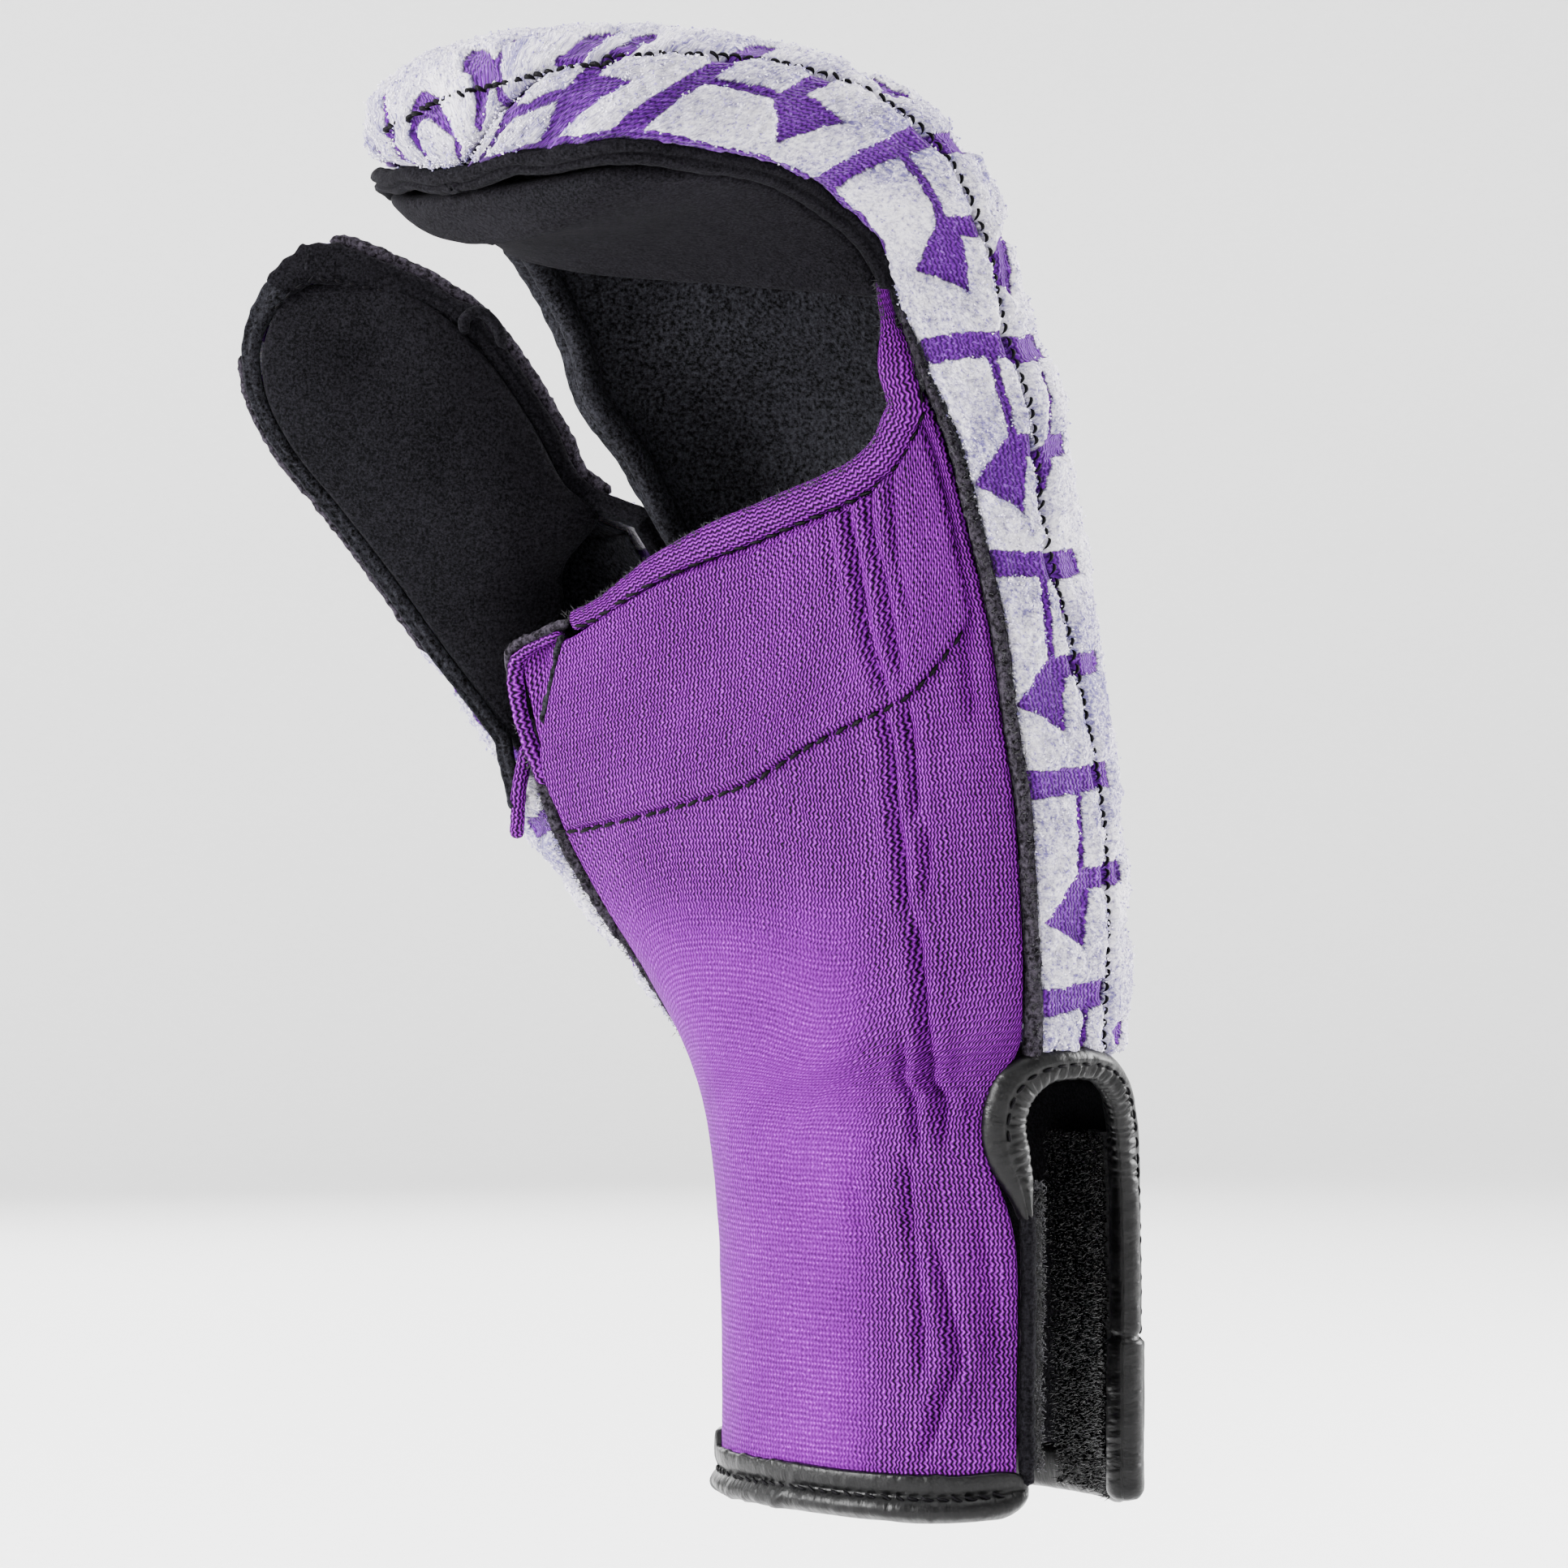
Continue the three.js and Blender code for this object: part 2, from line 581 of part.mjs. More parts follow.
function addSeams() {
  place('ulnar_seam', bead({
    route: seamRoute('ulnarSeam', fleeceStart, stripStart - 0.3, 24),
    steps: 34,
    width: seamWidth,
    height: beadHeight,
    raise: -seamSink,
  }), 'overlock');
  place('thumb_root_seam', bead({
    route: seamRoute('palmEdge', 3.25, rootSeamEnd - 0.15, 12),
    wide: 1,
    steps: 16,
    width: seamWidth,
    height: beadHeight,
    raise: -seamSink,
  }), 'overlock');
  const tip = [tipStation - 0.004, 90];
  const pocketSeam = [
    ...seamRoute('ulnarSeam', stripStart, panelEnd, 14),
    tip,
    ...seamRoute('handEdge', panelEnd, pocketRadialStart + 0.15, 10),
  ];
  place('pocket_seam', bead({
    route: pocketSeam, steps: 44, width: edgeBeadWidth, height: 3.2, raise: -0.7,
  }), 'blackSuede');
}

function addCuff() {
  place('wrist_flap', panel({
    from: () => flapStart,
    to: () => flapEdge,
    toGap: () => tubeBindingRadius + clearance,
    low: () => hemTop,
    high: () => flapTop,
    across: 12,
    along: 8,
    wall: knitWall,
  }), 'blackLining');
  place('hook_tape', panel({
    from: () => flapEdge - hookInset - hookSpan,
    to: () => flapEdge - hookInset,
    low: () => 2 * hemTop,
    high: () => flapTop - 0.5,
    across: 2,
    along: 6,
    depth: knitWall + clearance,
    wall: tapeWall,
  }), 'blackTape');
  place('loop_tape', panel({
    wide: 1,
    from: () => ulnarSeam(0) + loopTapeAngles[0],
    to: () => ulnarSeam(0) + loopTapeAngles[1],
    low: () => 1.3 * hemTop,
    high: () => 2.55,
    across: 1,
    along: 6,
    depth: 0.4,
    wall: tapeWall,
  }), 'blackTape');
  place('slit_binding', bead({
    route: slitRoute,
    steps: 34,
    width: 2 * tubeBindingRadius,
    height: 2 * tubeBindingRadius,
    raise: -edgingSink,
  }), 'softEdging');
  place('wrist_binding', bead({
    route: [[wristJoint, -32], [wristJoint, -90], [wristJoint, -150]],
    steps: 16,
    width: 4.6,
    height: 3.6,
    raise: -edgingSink,
  }), 'softEdging');
  place('cuff_binding', bead({
    route: [[hemTop / 2, ulnarSeam(0)], [hemTop / 2, 170], [hemTop / 2, 360 + flapEdge - 6.5]],
    steps: 40,
    width: hemBindingHeight,
    height: 4,
    raise: -0.7,
  }), 'softEdging');
}

// Strip of seam allowance that follows the thumb's two seams over the tip
function thumbFlange(rails) {
  const left = [];
  const right = [];
  for (let i = 0; i <= 12; i += 1) {
    left.push(thumbRow(thumbRows, mix(flangeLeftEnd, 0, i / 12)).left);
    right.push(thumbRow(rails, mix(0, forkRow - 0.15, i / 12)).right);
  }
  const points = [...left, ...right];
  const sides = points.map((_, i) => {
    const ahead = points[Math.min(i + 1, points.length - 1)].clone();
    return ahead.sub(points[Math.max(i - 1, 0)]).cross(away).normalize();
  });
  const middle = thumbRow(thumbRows, 3);
  const inward = middle.left.clone().add(middle.right).multiplyScalar(0.5).sub(points[9]);
  const sign = Math.sign(inward.dot(sides[9]));
  const section = [[0, 0], [flangeWidth, 0], [flangeWidth, flangeThickness], [0, flangeThickness]]
    .map(([side, up]) => [sign * side, up - 0.4]);
  return barAlong(points, sides, points.map(() => away), section);
}

function addThumb() {
  const rails = thumbBackRails();
  const last = rails.length - 1;
  const back = arcGrid(rails, {
    along: 21,
    across: 9,
    first: 0,
    last,
    bulge: (depth) => depth,
    trimLeft: 2.6,
    trimRight: (row) => (row < forkRow + 3.5 ? 2.8 : 1),
  });
  place('thumb_back', sheetBetween(back, sunkGrid(back, fleeceWall, 1)), 'fleece');
  const inner = arcGrid(rails, {
    along: 14,
    across: 7,
    first: 1,
    last: last - 3,
    bulge: (depth) => depth,
    trimLeft: 6,
    trimRight: () => 4,
  });
  const innerGap = fleeceWall + 3 * clearance;
  place('thumb_lining', sheetBetween(
    sunkGrid(inner, innerGap, 1), sunkGrid(inner, innerGap + liningWall, 1),
  ), 'blackLining');
  const front = arcGrid(thumbRows, {
    along: 14,
    across: 8,
    first: 1.3,
    last: thumbRows.length - 1,
    lie: 0.28,
    bulge: (_, share) => -frontBulge * Math.sin(Math.PI * Math.min(share * 1.1, 1)),
    trimLeft: flangeWidth + 1.4,
    trimRight: (row) => flangeWidth + (row < 4 ? 3 : 1.4),
  });
  place('thumb_front', sheetBetween(front, sunkGrid(front, suedeWall, -1)), 'blackSuede');
  place('thumb_seam', thumbFlange(rails), 'blackSuede');
}

addPalm();
addHand();
addSeams();
addCuff();
addThumb();

export default mitten;
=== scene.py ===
import math

import bpy
import numpy as np
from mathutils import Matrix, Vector, noise


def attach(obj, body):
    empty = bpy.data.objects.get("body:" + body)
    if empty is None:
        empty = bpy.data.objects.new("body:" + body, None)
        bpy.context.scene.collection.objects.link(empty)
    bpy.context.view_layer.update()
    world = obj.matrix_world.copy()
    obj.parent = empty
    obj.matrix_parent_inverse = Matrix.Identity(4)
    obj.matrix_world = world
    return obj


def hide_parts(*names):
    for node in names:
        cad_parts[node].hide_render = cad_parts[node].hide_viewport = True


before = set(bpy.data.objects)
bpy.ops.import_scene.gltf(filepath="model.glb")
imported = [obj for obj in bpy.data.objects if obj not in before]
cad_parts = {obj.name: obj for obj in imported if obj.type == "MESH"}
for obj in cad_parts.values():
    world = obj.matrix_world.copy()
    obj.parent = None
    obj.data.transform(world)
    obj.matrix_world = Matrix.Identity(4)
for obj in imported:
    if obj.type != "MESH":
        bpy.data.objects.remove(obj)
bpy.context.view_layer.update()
print("frame loaded")

# Shapes are worked out in millimetres, in the frame of the solids, and turned to metres as a mesh is made.
# The hand part is a tube of sections from the hem to the fingertips, numbered by station.
# Around a section 0 degrees is the little-finger edge, 90 the palm, 180 the thumb side, -90 the back.
metre = 0.001
hand = {
    "palmTurn": 44,  # degrees that the palm faces round from -X toward -Y
    "squareness": 0.86,
    "tipWidthRun": 2.2,
    "tipDepthRun": 1.0,
    "tipSlope": 3.0,
    "tipDrawBack": 0.09,
    "knitWall": 2.3,
    "fleeceWall": 2.7,
    "suedeWall": 2.4,
    "liningWall": 0.8,
    "gap": 0.3,
    "seamWidth": 2.2,
    "beadWidth": 3.0,
    "hemBinding": 7.0,
    "fleeceStart": 4.03,
    "rootSeamEnd": 7.4,
    "liningEnd": 16.0,
    "flapTop": 3.7,
    "flapEdge": -36.0,
}
sectionNames = (
    "back", "height", "lean", "ulnar", "radial", "thick", "cup", "reach", "lift",
    "ulnarSeam", "backSeam", "handEdge", "palmEdge",
)
sections = [
    (-26.5, 0, 0, -33.5, 32.5, 53, 0, 0, 0, 18.5, -34, 205, 205),  # hem
    (-26.5, 18, 0, -33.5, 32.5, 53, 0, 0, 0, 18.5, -34, 205, 205),
    (-26.5, 36, 0, -33.5, 33.5, 52.5, 0, 0, 0, 18.5, -34, 204, 204),
    (-25.5, 54, 0, -34, 35, 52, 0, 0, 0, 18, -28, 204, 196),
    (-23.5, 70, 2, -35, 36.5, 51, 0, 3, 1, 16.5, -12, 203, 162),  # wrist
    (-22, 84, 4, -37, 39, 49, 0, 9, 4, 19.5, -9, 204, 147),
    (-19, 98, 6, -39, 42, 47, 0, 17, 9, 22, -9, 203, 138),
    (-15, 112.5, 9, -40.5, 44, 45, 0, 21, 15, 22.5, -8.5, 200, 133.5),  # base of the thumb
    (-10.5, 127, 12, -41.5, 43.5, 43, 0, 23, 19, 24.5, -4.5, 196, 131.8),
    (-6.5, 142, 16, -42, 41, 41, 1, 25, 20, 26.5, 0, 190, 135.5),
    (-1.5, 157, 20, -42, 37.5, 38, 3, 25, 18, 31, 2.5, 180, 134),
    (2.5, 172.5, 25, -42, 38.5, 36, 6, 18, 12, 37, 2, 168, 131),
    (11, 186.5, 37, -41.5, 40.5, 34, 9, 6, 4, 39, 0.5, 170, 129),  # knuckles
    (17.5, 202, 52, -41, 44, 32, 10, 0, 0, 46.5, 2.5, 165, 128),
    (29, 213, 66, -40, 46.5, 31, 8, 0, 0, 45.5, -3, 165, 128),
    (44, 218, 78, -38, 44.5, 30, 5, 0, 0, 41.5, -17.5, 160, 128),
    (60, 219, 88, -35, 42, 28.5, 3, 0, 0, 33, -29, 160, 128),
    (76, 218.5, 98, -30, 39, 29, 1, 0, 0, 24, -33, 164, 128),
    (89, 214.5, 110, -25, 34, 28, 0, 0, 0, 11, -42, 171, 128),
    (96, 206, 124, -18, 30, 24, 0, 0, 0, 3, -50, 176, 128),  # fingertips
]
tipStation = len(sections) - 1
panelEnd = tipStation - 0.02
hemTop = (hand["hemBinding"] + hand["gap"]) / sections[1][1]


def mix(a, b, share):
    return a + (b - a) * share


def ramp(value, low, high):
    t = np.clip((value - low) / (high - low), 0, 1)
    return t * t * (3 - 2 * t)


# Smooth step from here along a rise, leaving and arriving at the given slopes
def smoothStep(here, rise, slopeIn, slopeOut, t):
    bend = 3 * rise - 2 * slopeIn - slopeOut
    return here + t * (slopeIn + t * (bend + t * (slopeIn + slopeOut - 2 * rise)))


# Smooth line through rows of numbers, at places counted in rows
def rowsAt(rows, places):
    rows = np.asarray(rows, float)
    last = len(rows) - 1
    at = np.clip(np.asarray(places, float), 0, last)
    i = np.minimum(at.astype(int), last - 1)
    t = (at - i)[..., None]
    here, ahead = rows[i], rows[i + 1]
    before = np.where((i > 0)[..., None], rows[np.maximum(i - 1, 0)], 2 * here - ahead)
    after = np.where((i < last - 1)[..., None], rows[np.minimum(i + 2, last)], 2 * ahead - here)
    return smoothStep(here, ahead - here, (ahead - before) / 2, (after - here) / 2, t)


# Smooth line through a table of (place, value)
def trackAt(table, place):
    xs, ys = np.asarray(table, float).T
    place = np.asarray(place, float)
    last = len(xs) - 1
    i = np.clip(np.searchsorted(xs, place) - 1, 0, last - 1)
    before, after = np.maximum(np.arange(last + 1) - 1, 0), np.minimum(np.arange(last + 1) + 1, last)
    slopes = (ys[after] - ys[before]) / (xs[after] - xs[before])
    width = xs[i + 1] - xs[i]
    t = np.clip((place - xs[i]) / width, 0, 1)
    return smoothStep(ys[i], ys[i + 1] - ys[i], slopes[i] * width, slopes[i + 1] * width, t)


def always(value):
    return lambda place: value + 0 * place


def sectionAt(station):
    return dict(zip(sectionNames, np.moveaxis(rowsAt(sections, station), -1, 0)))


def roundEnd(left, length, power):
    t = np.clip(left / length, 0, 1)
    return (1 - (1 - t) ** power) ** (1 / power)


# Points of the tube, sunk by depth; wide is 1 over the palm, which reaches round the base of the thumb
def tubePoints(station, angle, depth=0.0, wide=0.0):
    station, angle, depth = np.broadcast_arrays(np.asarray(station, float), angle, depth)
    tipShare = np.clip((station - tipStation + hand["tipSlope"]) / hand["tipSlope"], 0, 1)
    s = sectionAt(station - hand["tipDrawBack"] * depth * tipShare ** 2)
    left = tipStation - station
    broad = mix(0.001, 1, roundEnd(left, hand["tipWidthRun"], 2.2))
    deep = mix(0.001, 1, roundEnd(left, hand["tipDepthRun"], 2))
    turned = np.radians(angle)
    across = -np.sign(np.cos(turned)) * np.abs(np.cos(turned)) ** hand["squareness"]
    through = np.sign(np.sin(turned)) * np.abs(np.sin(turned)) ** hand["squareness"]
    halfWide = (s["radial"] - s["ulnar"]) / 2 - depth
    halfThick = s["thick"] / 2 - depth
    thumbShare = wide * np.maximum(across / 2 + 0.5, 0) ** 2.4
    middle = s["thick"] / 2 + s["cup"] * np.maximum(across, 0) ** 1.8 + s["lift"] * thumbShare
    fromBack = middle + halfThick * deep * through
    sideways = (s["radial"] + s["ulnar"]) / 2 + halfWide * broad * across + s["reach"] * thumbShare
    lean = np.radians(s["lean"])
    turn = math.radians(hand["palmTurn"])
    palmward = np.array([-math.cos(turn), -math.sin(turn), 0])
    thumbward = np.array([-math.sin(turn), math.cos(turn), 0])
    points = (s["back"] + fromBack * np.cos(lean))[..., None] * palmward + sideways[..., None] * thumbward
    points[..., 2] = s["height"] - fromBack * np.sin(lean)
    return points


def lengthOf(vectors):
    return np.linalg.norm(vectors, axis=-1)


def unit(vectors):
    return vectors / np.maximum(lengthOf(vectors), 1e-9)[..., None]


# Length walked along a line, or along each column of a grid, up to each of its points
def walkAlong(points):
    steps = lengthOf(np.diff(points, axis=0))
    return np.concatenate([0 * steps[:1], np.cumsum(steps, axis=0)])


# Points of a line at given lengths along it
def pointsAt(lengths, walk, points):
    return np.stack([np.interp(lengths, walk, points[:, k]) for k in range(3)], -1)


# Millimetres of the tube's surface to a degree round it
def degreeLength(station, angle, wide):
    return lengthOf(tubePoints(station, angle + 1, 0, wide) - tubePoints(station, angle - 1, 0, wide)) / 2


# Angle a given length square to a seam, on one side of it
def besideSeam(seam, station, length, wide):
    angle = seam(station)
    around = degreeLength(station, angle, wide)
    ahead = np.minimum(station + 0.1, panelEnd)
    behind = ahead - 0.2
    forward = lengthOf(tubePoints(ahead, angle, 0, wide) - tubePoints(behind, angle, 0, wide))
    slant = np.minimum(np.hypot(1, (seam(ahead) - seam(behind)) * around / forward), 2)
    return angle + length * slant / np.maximum(around, 0.05)


def gridNormals(points):
    return unit(np.cross(np.gradient(points, axis=0), np.gradient(points, axis=1)))


# Millimetres across and along a grid, across counted from its middle row
def gridLengths(points):
    across = walkAlong(points)
    return across - across[len(across) // 2], walkAlong(points.swapaxes(0, 1)).T


# Lattice of stations and angles between two seams, evenly spaced along its middle
def seamLattice(spec):
    wide = spec.get("wide", 0.0)
    share = np.linspace(0, 1, spec["across"] + 1)[:, None]
    low, high = spec["low"](share), spec["high"](share)
    fine = np.linspace(0, 1, 600)
    middle = low.mean() + (high.mean() - low.mean()) * fine
    centre = mix(spec["from"](middle), spec["to"](middle), 0.5)
    walk = walkAlong(tubePoints(middle, centre, 0, wide))
    even = np.interp(np.linspace(0, walk[-1], spec["along"] + 1), walk, fine)[None, :]
    station = low + (high - low) * even
    first = besideSeam(spec["from"], station, spec["fromGap"](station), wide)
    last = besideSeam(spec["to"], station, -spec["toGap"](station), wide)
    return station, mix(first, last, share)


# Millimetres to the nearer side and to the nearer end of a piece
def edgeDistance(across, along):
    toSides = np.minimum(across - across[:1], across[-1:] - across)
    toEnds = np.minimum(along, along[:, -1:] - along)
    return toSides, toEnds


def roundedEdge(distance, radius, drop):
    t = 1 - np.clip(distance / radius, 0, 1)
    return drop * (np.sqrt(np.maximum(1 - t * t, 0)) - 1)


# Two octaves of smooth noise about 0, whose lumps are of the given size in millimetres
def softNoise(points, size, seed=0.0):
    flat = points.reshape(-1, 3) / size + seed
    values = [noise.fractal(Vector(p), 0.9, 2.1, 2) for p in flat]
    return np.array(values).reshape(points.shape[:-1])


# Edge turned over on all four sides of a piece, as a drop in millimetres
def turnedEdge(place, radius, drop):
    return roundedEdge(np.minimum(*edgeDistance(place["across"], place["along"])), radius, drop)


# Evens a grid out along its length, its two ends left where they are
def softened(points, passes):
    points = points.copy()
    for _ in range(passes):
        points[:, 1:-1] += 0.25 * (points[:, 2:] + points[:, :-2] - 2 * points[:, 1:-1])
    return points


# Evenly spaced points on a closed line through a few corners
def closedCurve(corners, count):
    looped = [corners[-1], *corners, corners[0], corners[1]]
    return rowsAt(looped, 1 + len(corners) * np.arange(count) / count)


# Closed wall between two grids; the side that doesn't show keeps every second point
def closedGrid(outer, inner):
    rows, columns = outer.shape[:2]
    index = np.arange(rows * columns).reshape(rows, columns)
    half = index[::2, ::2]
    coarse = rows * columns + np.arange(half.size).reshape(half.shape)
    def quads(lattice):
        corners = [lattice[:-1, :-1], lattice[:-1, 1:], lattice[1:, 1:], lattice[1:, :-1]]
        return np.stack(corners, -1).reshape(-1, 4)
    def rim(lattice):
        return np.concatenate([lattice[0, :-1], lattice[:-1, -1], lattice[-1, :0:-1], lattice[:0:-1, 0]])
    front, back = rim(index), rim(coarse)
    side = np.stack([np.roll(front[::2], -1), front[1::2], front[::2], back, np.roll(back, -1)], 1)
    verts = np.concatenate([outer.reshape(-1, 3), inner[::2, ::2].reshape(-1, 3)])
    return verts, [quads(index), quads(coarse)[:, ::-1], side]


# Values of a lattice for both sides of its wall
def onBothSides(values):
    width = values.shape[2:]
    return np.concatenate([values.reshape(-1, *width), values[::2, ::2].reshape(-1, *width)])


# Faces between each ring of points and the next, and the face that shuts each end
def ringFaces(count, around):
    index = np.arange(count * around).reshape(count, around)
    a, d = index[:-1], index[1:]
    quads = np.stack([a, np.roll(a, -1, 1), np.roll(d, -1, 1), d], -1).reshape(-1, 4)
    return [quads, np.stack([index[0, ::-1], index[-1]])]


def signedVolume(verts, faces):
    total = 0
    for group in faces:
        first = verts[group[:, 0]]
        for k in range(1, group.shape[1] - 1):
            total += np.einsum("ij,ij->", first, np.cross(verts[group[:, k]], verts[group[:, k + 1]]))
    return total


# Mesh object in metres; layers are values kept for each point, such as cloth millimetres or a pile mask
def addPiece(name, verts, faces, finish, stands, layers):
    if signedVolume(verts, faces) < 0:
        faces = [group[:, ::-1] for group in faces]
    mesh = bpy.data.meshes.new(name)
    mesh.vertices.add(len(verts))
    mesh.vertices.foreach_set("co", (verts * metre).astype(np.float32).ravel())
    corners = np.concatenate([group.ravel() for group in faces]).astype(np.int32)
    sizes = np.concatenate([np.full(len(group), group.shape[1]) for group in faces]).astype(np.int32)
    mesh.loops.add(len(corners))
    mesh.loops.foreach_set("vertex_index", corners)
    mesh.polygons.add(len(sizes))
    mesh.polygons.foreach_set("loop_start", np.concatenate([[0], np.cumsum(sizes)[:-1]]).astype(np.int32))
    for key, values in layers.items():
        flat = np.asarray(values, np.float32)
        kind, field = ("FLOAT_VECTOR", "vector") if flat.ndim == 2 else ("FLOAT", "value")
        mesh.attributes.new(key, kind, "POINT").data.foreach_set(field, flat.ravel())
    mesh.update(calc_edges=True)
    mesh.validate()
    mesh.shade_smooth()
    mesh.materials.append(finish)
    piece = bpy.data.objects.new(name, mesh)
    bpy.context.collection.objects.link(piece)
    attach(piece, "root")
    if stands:
        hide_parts(*stands)
    return piece


# Wall between two seams with relief on its outside; relief gets the lattice and returns millimetres
def addPanel(name, spec, finish, slot, stands, relief):
    wide = spec.get("wide", 0.0)
    station, angle = seamLattice(spec)
    depth = spec.get("depth", 0.0)
    flat = softened(tubePoints(station, angle, depth, wide), spec.get("soften", 0))
    normals = gridNormals(flat)
    fromWithin = flat - tubePoints(station, angle, depth + 3, wide)
    normals *= np.sign(np.einsum("ijk,ijk->ij", normals, fromWithin))[..., None]
    place = {"station": station, "angle": angle, "around": degreeLength(station, angle, wide)}
    return addWall(name, flat, normals, place, spec, finish, slot, stands, relief)


# Closed wall as thick as the spec says, with its relief, its layers and any pile
def addWall(name, flat, normals, place, spec, finish, slot, stands, relief):
    across, along = gridLengths(flat)
    place.update({"points": flat, "across": across, "along": along})
    height, layers = relief(place)
    outer = flat + normals * height[..., None]
    verts, faces = closedGrid(outer, flat - normals * spec["wall"])
    doubled = {key: onBothSides(mask) for key, mask in layers.items()}
    doubled["cloth"] = onBothSides(np.stack([across, along, np.zeros_like(across)], -1))
    piece = addPiece(name, verts, faces, finish, stands, doubled)
    if "fibres" in spec:
        grows = layers["pile"] > 0.55
        addFibres(name + "Pile", outer[grows], normals[grows], pileFibre, slot, spec["fibres"])
    return piece


# Short fibres as slim closed spikes, set at random on the given points
def addFibres(name, roots, normals, finish, slot, look):
    rng = np.random.default_rng(look["seed"])
    pick = rng.integers(0, len(roots), look["count"])
    size = (look["count"], 3)
    aim = unit(normals[pick] + rng.normal(size=size) * look["lean"])
    length = look["length"] * rng.uniform(0.4, 1.25, look["count"])
    root = roots[pick] + rng.normal(size=size) * look["scatter"] - aim * look["thick"]
    side = unit(np.cross(aim, rng.normal(size=size)))
    other = np.cross(aim, side)
    verts = np.zeros((look["count"], 4, 3))
    for k in range(3):
        turned = 2 * math.pi * k / 3
        verts[:, k] = root + look["thick"] / 2 * (math.cos(turned) * side + math.sin(turned) * other)
    verts[:, 3] = root + aim * length[:, None]
    corners = np.array([[0, 2, 1], [0, 1, 3], [1, 2, 3], [2, 0, 3]])
    faces = (4 * np.arange(look["count"])[:, None, None] + corners).reshape(-1, 3)
    reach = np.tile([0.0, 0.0, 0.0, 1.0], look["count"])
    addPiece(name, verts.reshape(-1, 3), [faces], finish, [], {"reach": reach})


# Row of stitches: each is a short rounded thread that dips into the cloth at both ends
def addStitches(name, points, normals, look):
    walk = walkAlong(points)
    steps, around = 7, 6
    rng = np.random.default_rng(5)
    starts = np.arange(0.3, walk[-1] - look["length"], look["pitch"])
    starts = starts + rng.uniform(-0.12, 0.12, len(starts)) * look["pitch"]
    t = np.linspace(0, 1, steps)
    at = starts[:, None] + look["length"] * t
    centre = pointsAt(at, walk, points)
    up = unit(pointsAt(at, walk, normals))
    aside = unit(np.cross(np.gradient(centre, axis=1), up))
    slant = look["slant"] + rng.normal(size=(len(starts), 1)) * look.get("stray", 0.08)
    rise = look["proud"] * np.sin(np.pi * t) ** 0.6 - look["sunk"]
    centre = centre + up * rise[None, :, None] + aside * (slant * (t - 0.5))[..., None]
    radius = look["thick"] / 2 * (0.35 + 0.65 * np.sin(np.pi * t) ** 0.5)
    a = 2 * np.pi * np.arange(around) / around
    ring = np.cos(a)[:, None] * aside[:, :, None] + np.sin(a)[:, None] * up[:, :, None]
    rings = centre[:, :, None] + radius[None, :, None, None] * ring
    offset = steps * around * np.arange(len(starts))[:, None, None]
    faces = [(offset + group).reshape(-1, group.shape[1]) for group in ringFaces(steps, around)]
    across = np.broadcast_to(look["thick"] * a / 2, rings.shape[:3])
    cloth = np.stack([across, np.broadcast_to(at[..., None], across.shape), 0 * across], -1).reshape(-1, 3)
    addPiece(name, rings.reshape(-1, 3), faces, thread, [], {"cloth": cloth})


# Sideways and outward directions of a line, and the length walked along it
def lineFrame(points, normals):
    ahead = unit(np.gradient(points, axis=0))
    ups = unit(normals - np.einsum("ij,ij->i", normals, ahead)[:, None] * ahead)
    return np.cross(ahead, ups), ups, walkAlong(points)


# Share of its full size that a tube keeps close to its two ends
def endTaper(walk, ends, least):
    return mix(least, 1, roundEnd(np.minimum(walk, walk[-1] - walk), ends, 2))


# Oval tube along a line; relief gets the length along it, the angle round it and its points
def addTube(name, finish, stands, points, normals, width, height, relief=None, sides=18, ends=1.2,
            clothWidth=0):
    aside, ups, walk = lineFrame(points, normals)
    taper = endTaper(walk, ends, 0.05)
    a = 2 * np.pi * np.arange(sides) / sides
    halfWide = (np.broadcast_to(width, len(points)) / 2 * taper)[:, None, None]
    halfHigh = (np.broadcast_to(height, len(points)) / 2 * taper)[:, None, None]
    sideways, upward = np.cos(a)[None, :, None], np.sin(a)[None, :, None]
    rings = points[:, None] + (halfWide * sideways * aside[:, None] + halfHigh * upward * ups[:, None])
    if relief:
        out = unit(rings - points[:, None])
        lengths, turns = np.broadcast_arrays(walk[:, None], a[None, :])
        rings = rings + out * relief(lengths, turns, rings)[..., None]
    across = a / 2 * (clothWidth or np.mean(width))
    layer = np.stack(np.broadcast_arrays(across[None, :], walk[:, None], 0.0), -1).reshape(-1, 3)
    faces = ringFaces(len(points), sides)
    addPiece(name, rings.reshape(-1, 3), faces, finish, stands, {"cloth": layer})
    return rings


# Section of (sideways, outward) points swept along a line, drawn in at both ends
def addSweep(name, finish, stands, points, normals, section, relief, ends=1.2):
    aside, ups, walk = lineFrame(points, normals)
    taper = endTaper(walk, ends, 0.08)[:, None]
    section = np.broadcast_to(section, (len(points), *np.shape(section)[-2:]))
    middle = section.mean(axis=1, keepdims=True)
    section = middle + (section - middle) * taper[..., None]
    rings = points[:, None] + section[..., 0:1] * aside[:, None] + section[..., 1:2] * ups[:, None]
    around = walkAlong(section[len(section) // 2])
    out = unit(rings - (points + aside * middle[:, 0, 0:1] + ups * middle[:, 0, 1:2])[:, None])
    height = relief(walk[:, None] + 0 * around, section[..., 0], section[..., 1], rings)
    rings = rings + out * height[..., None]
    cloth = np.stack(np.broadcast_arrays(around[None, :], walk[:, None], 0.0), -1).reshape(-1, 3)
    faces = ringFaces(*rings.shape[:2])
    addPiece(name, rings.reshape(-1, 3), faces, finish, stands, {"cloth": cloth})


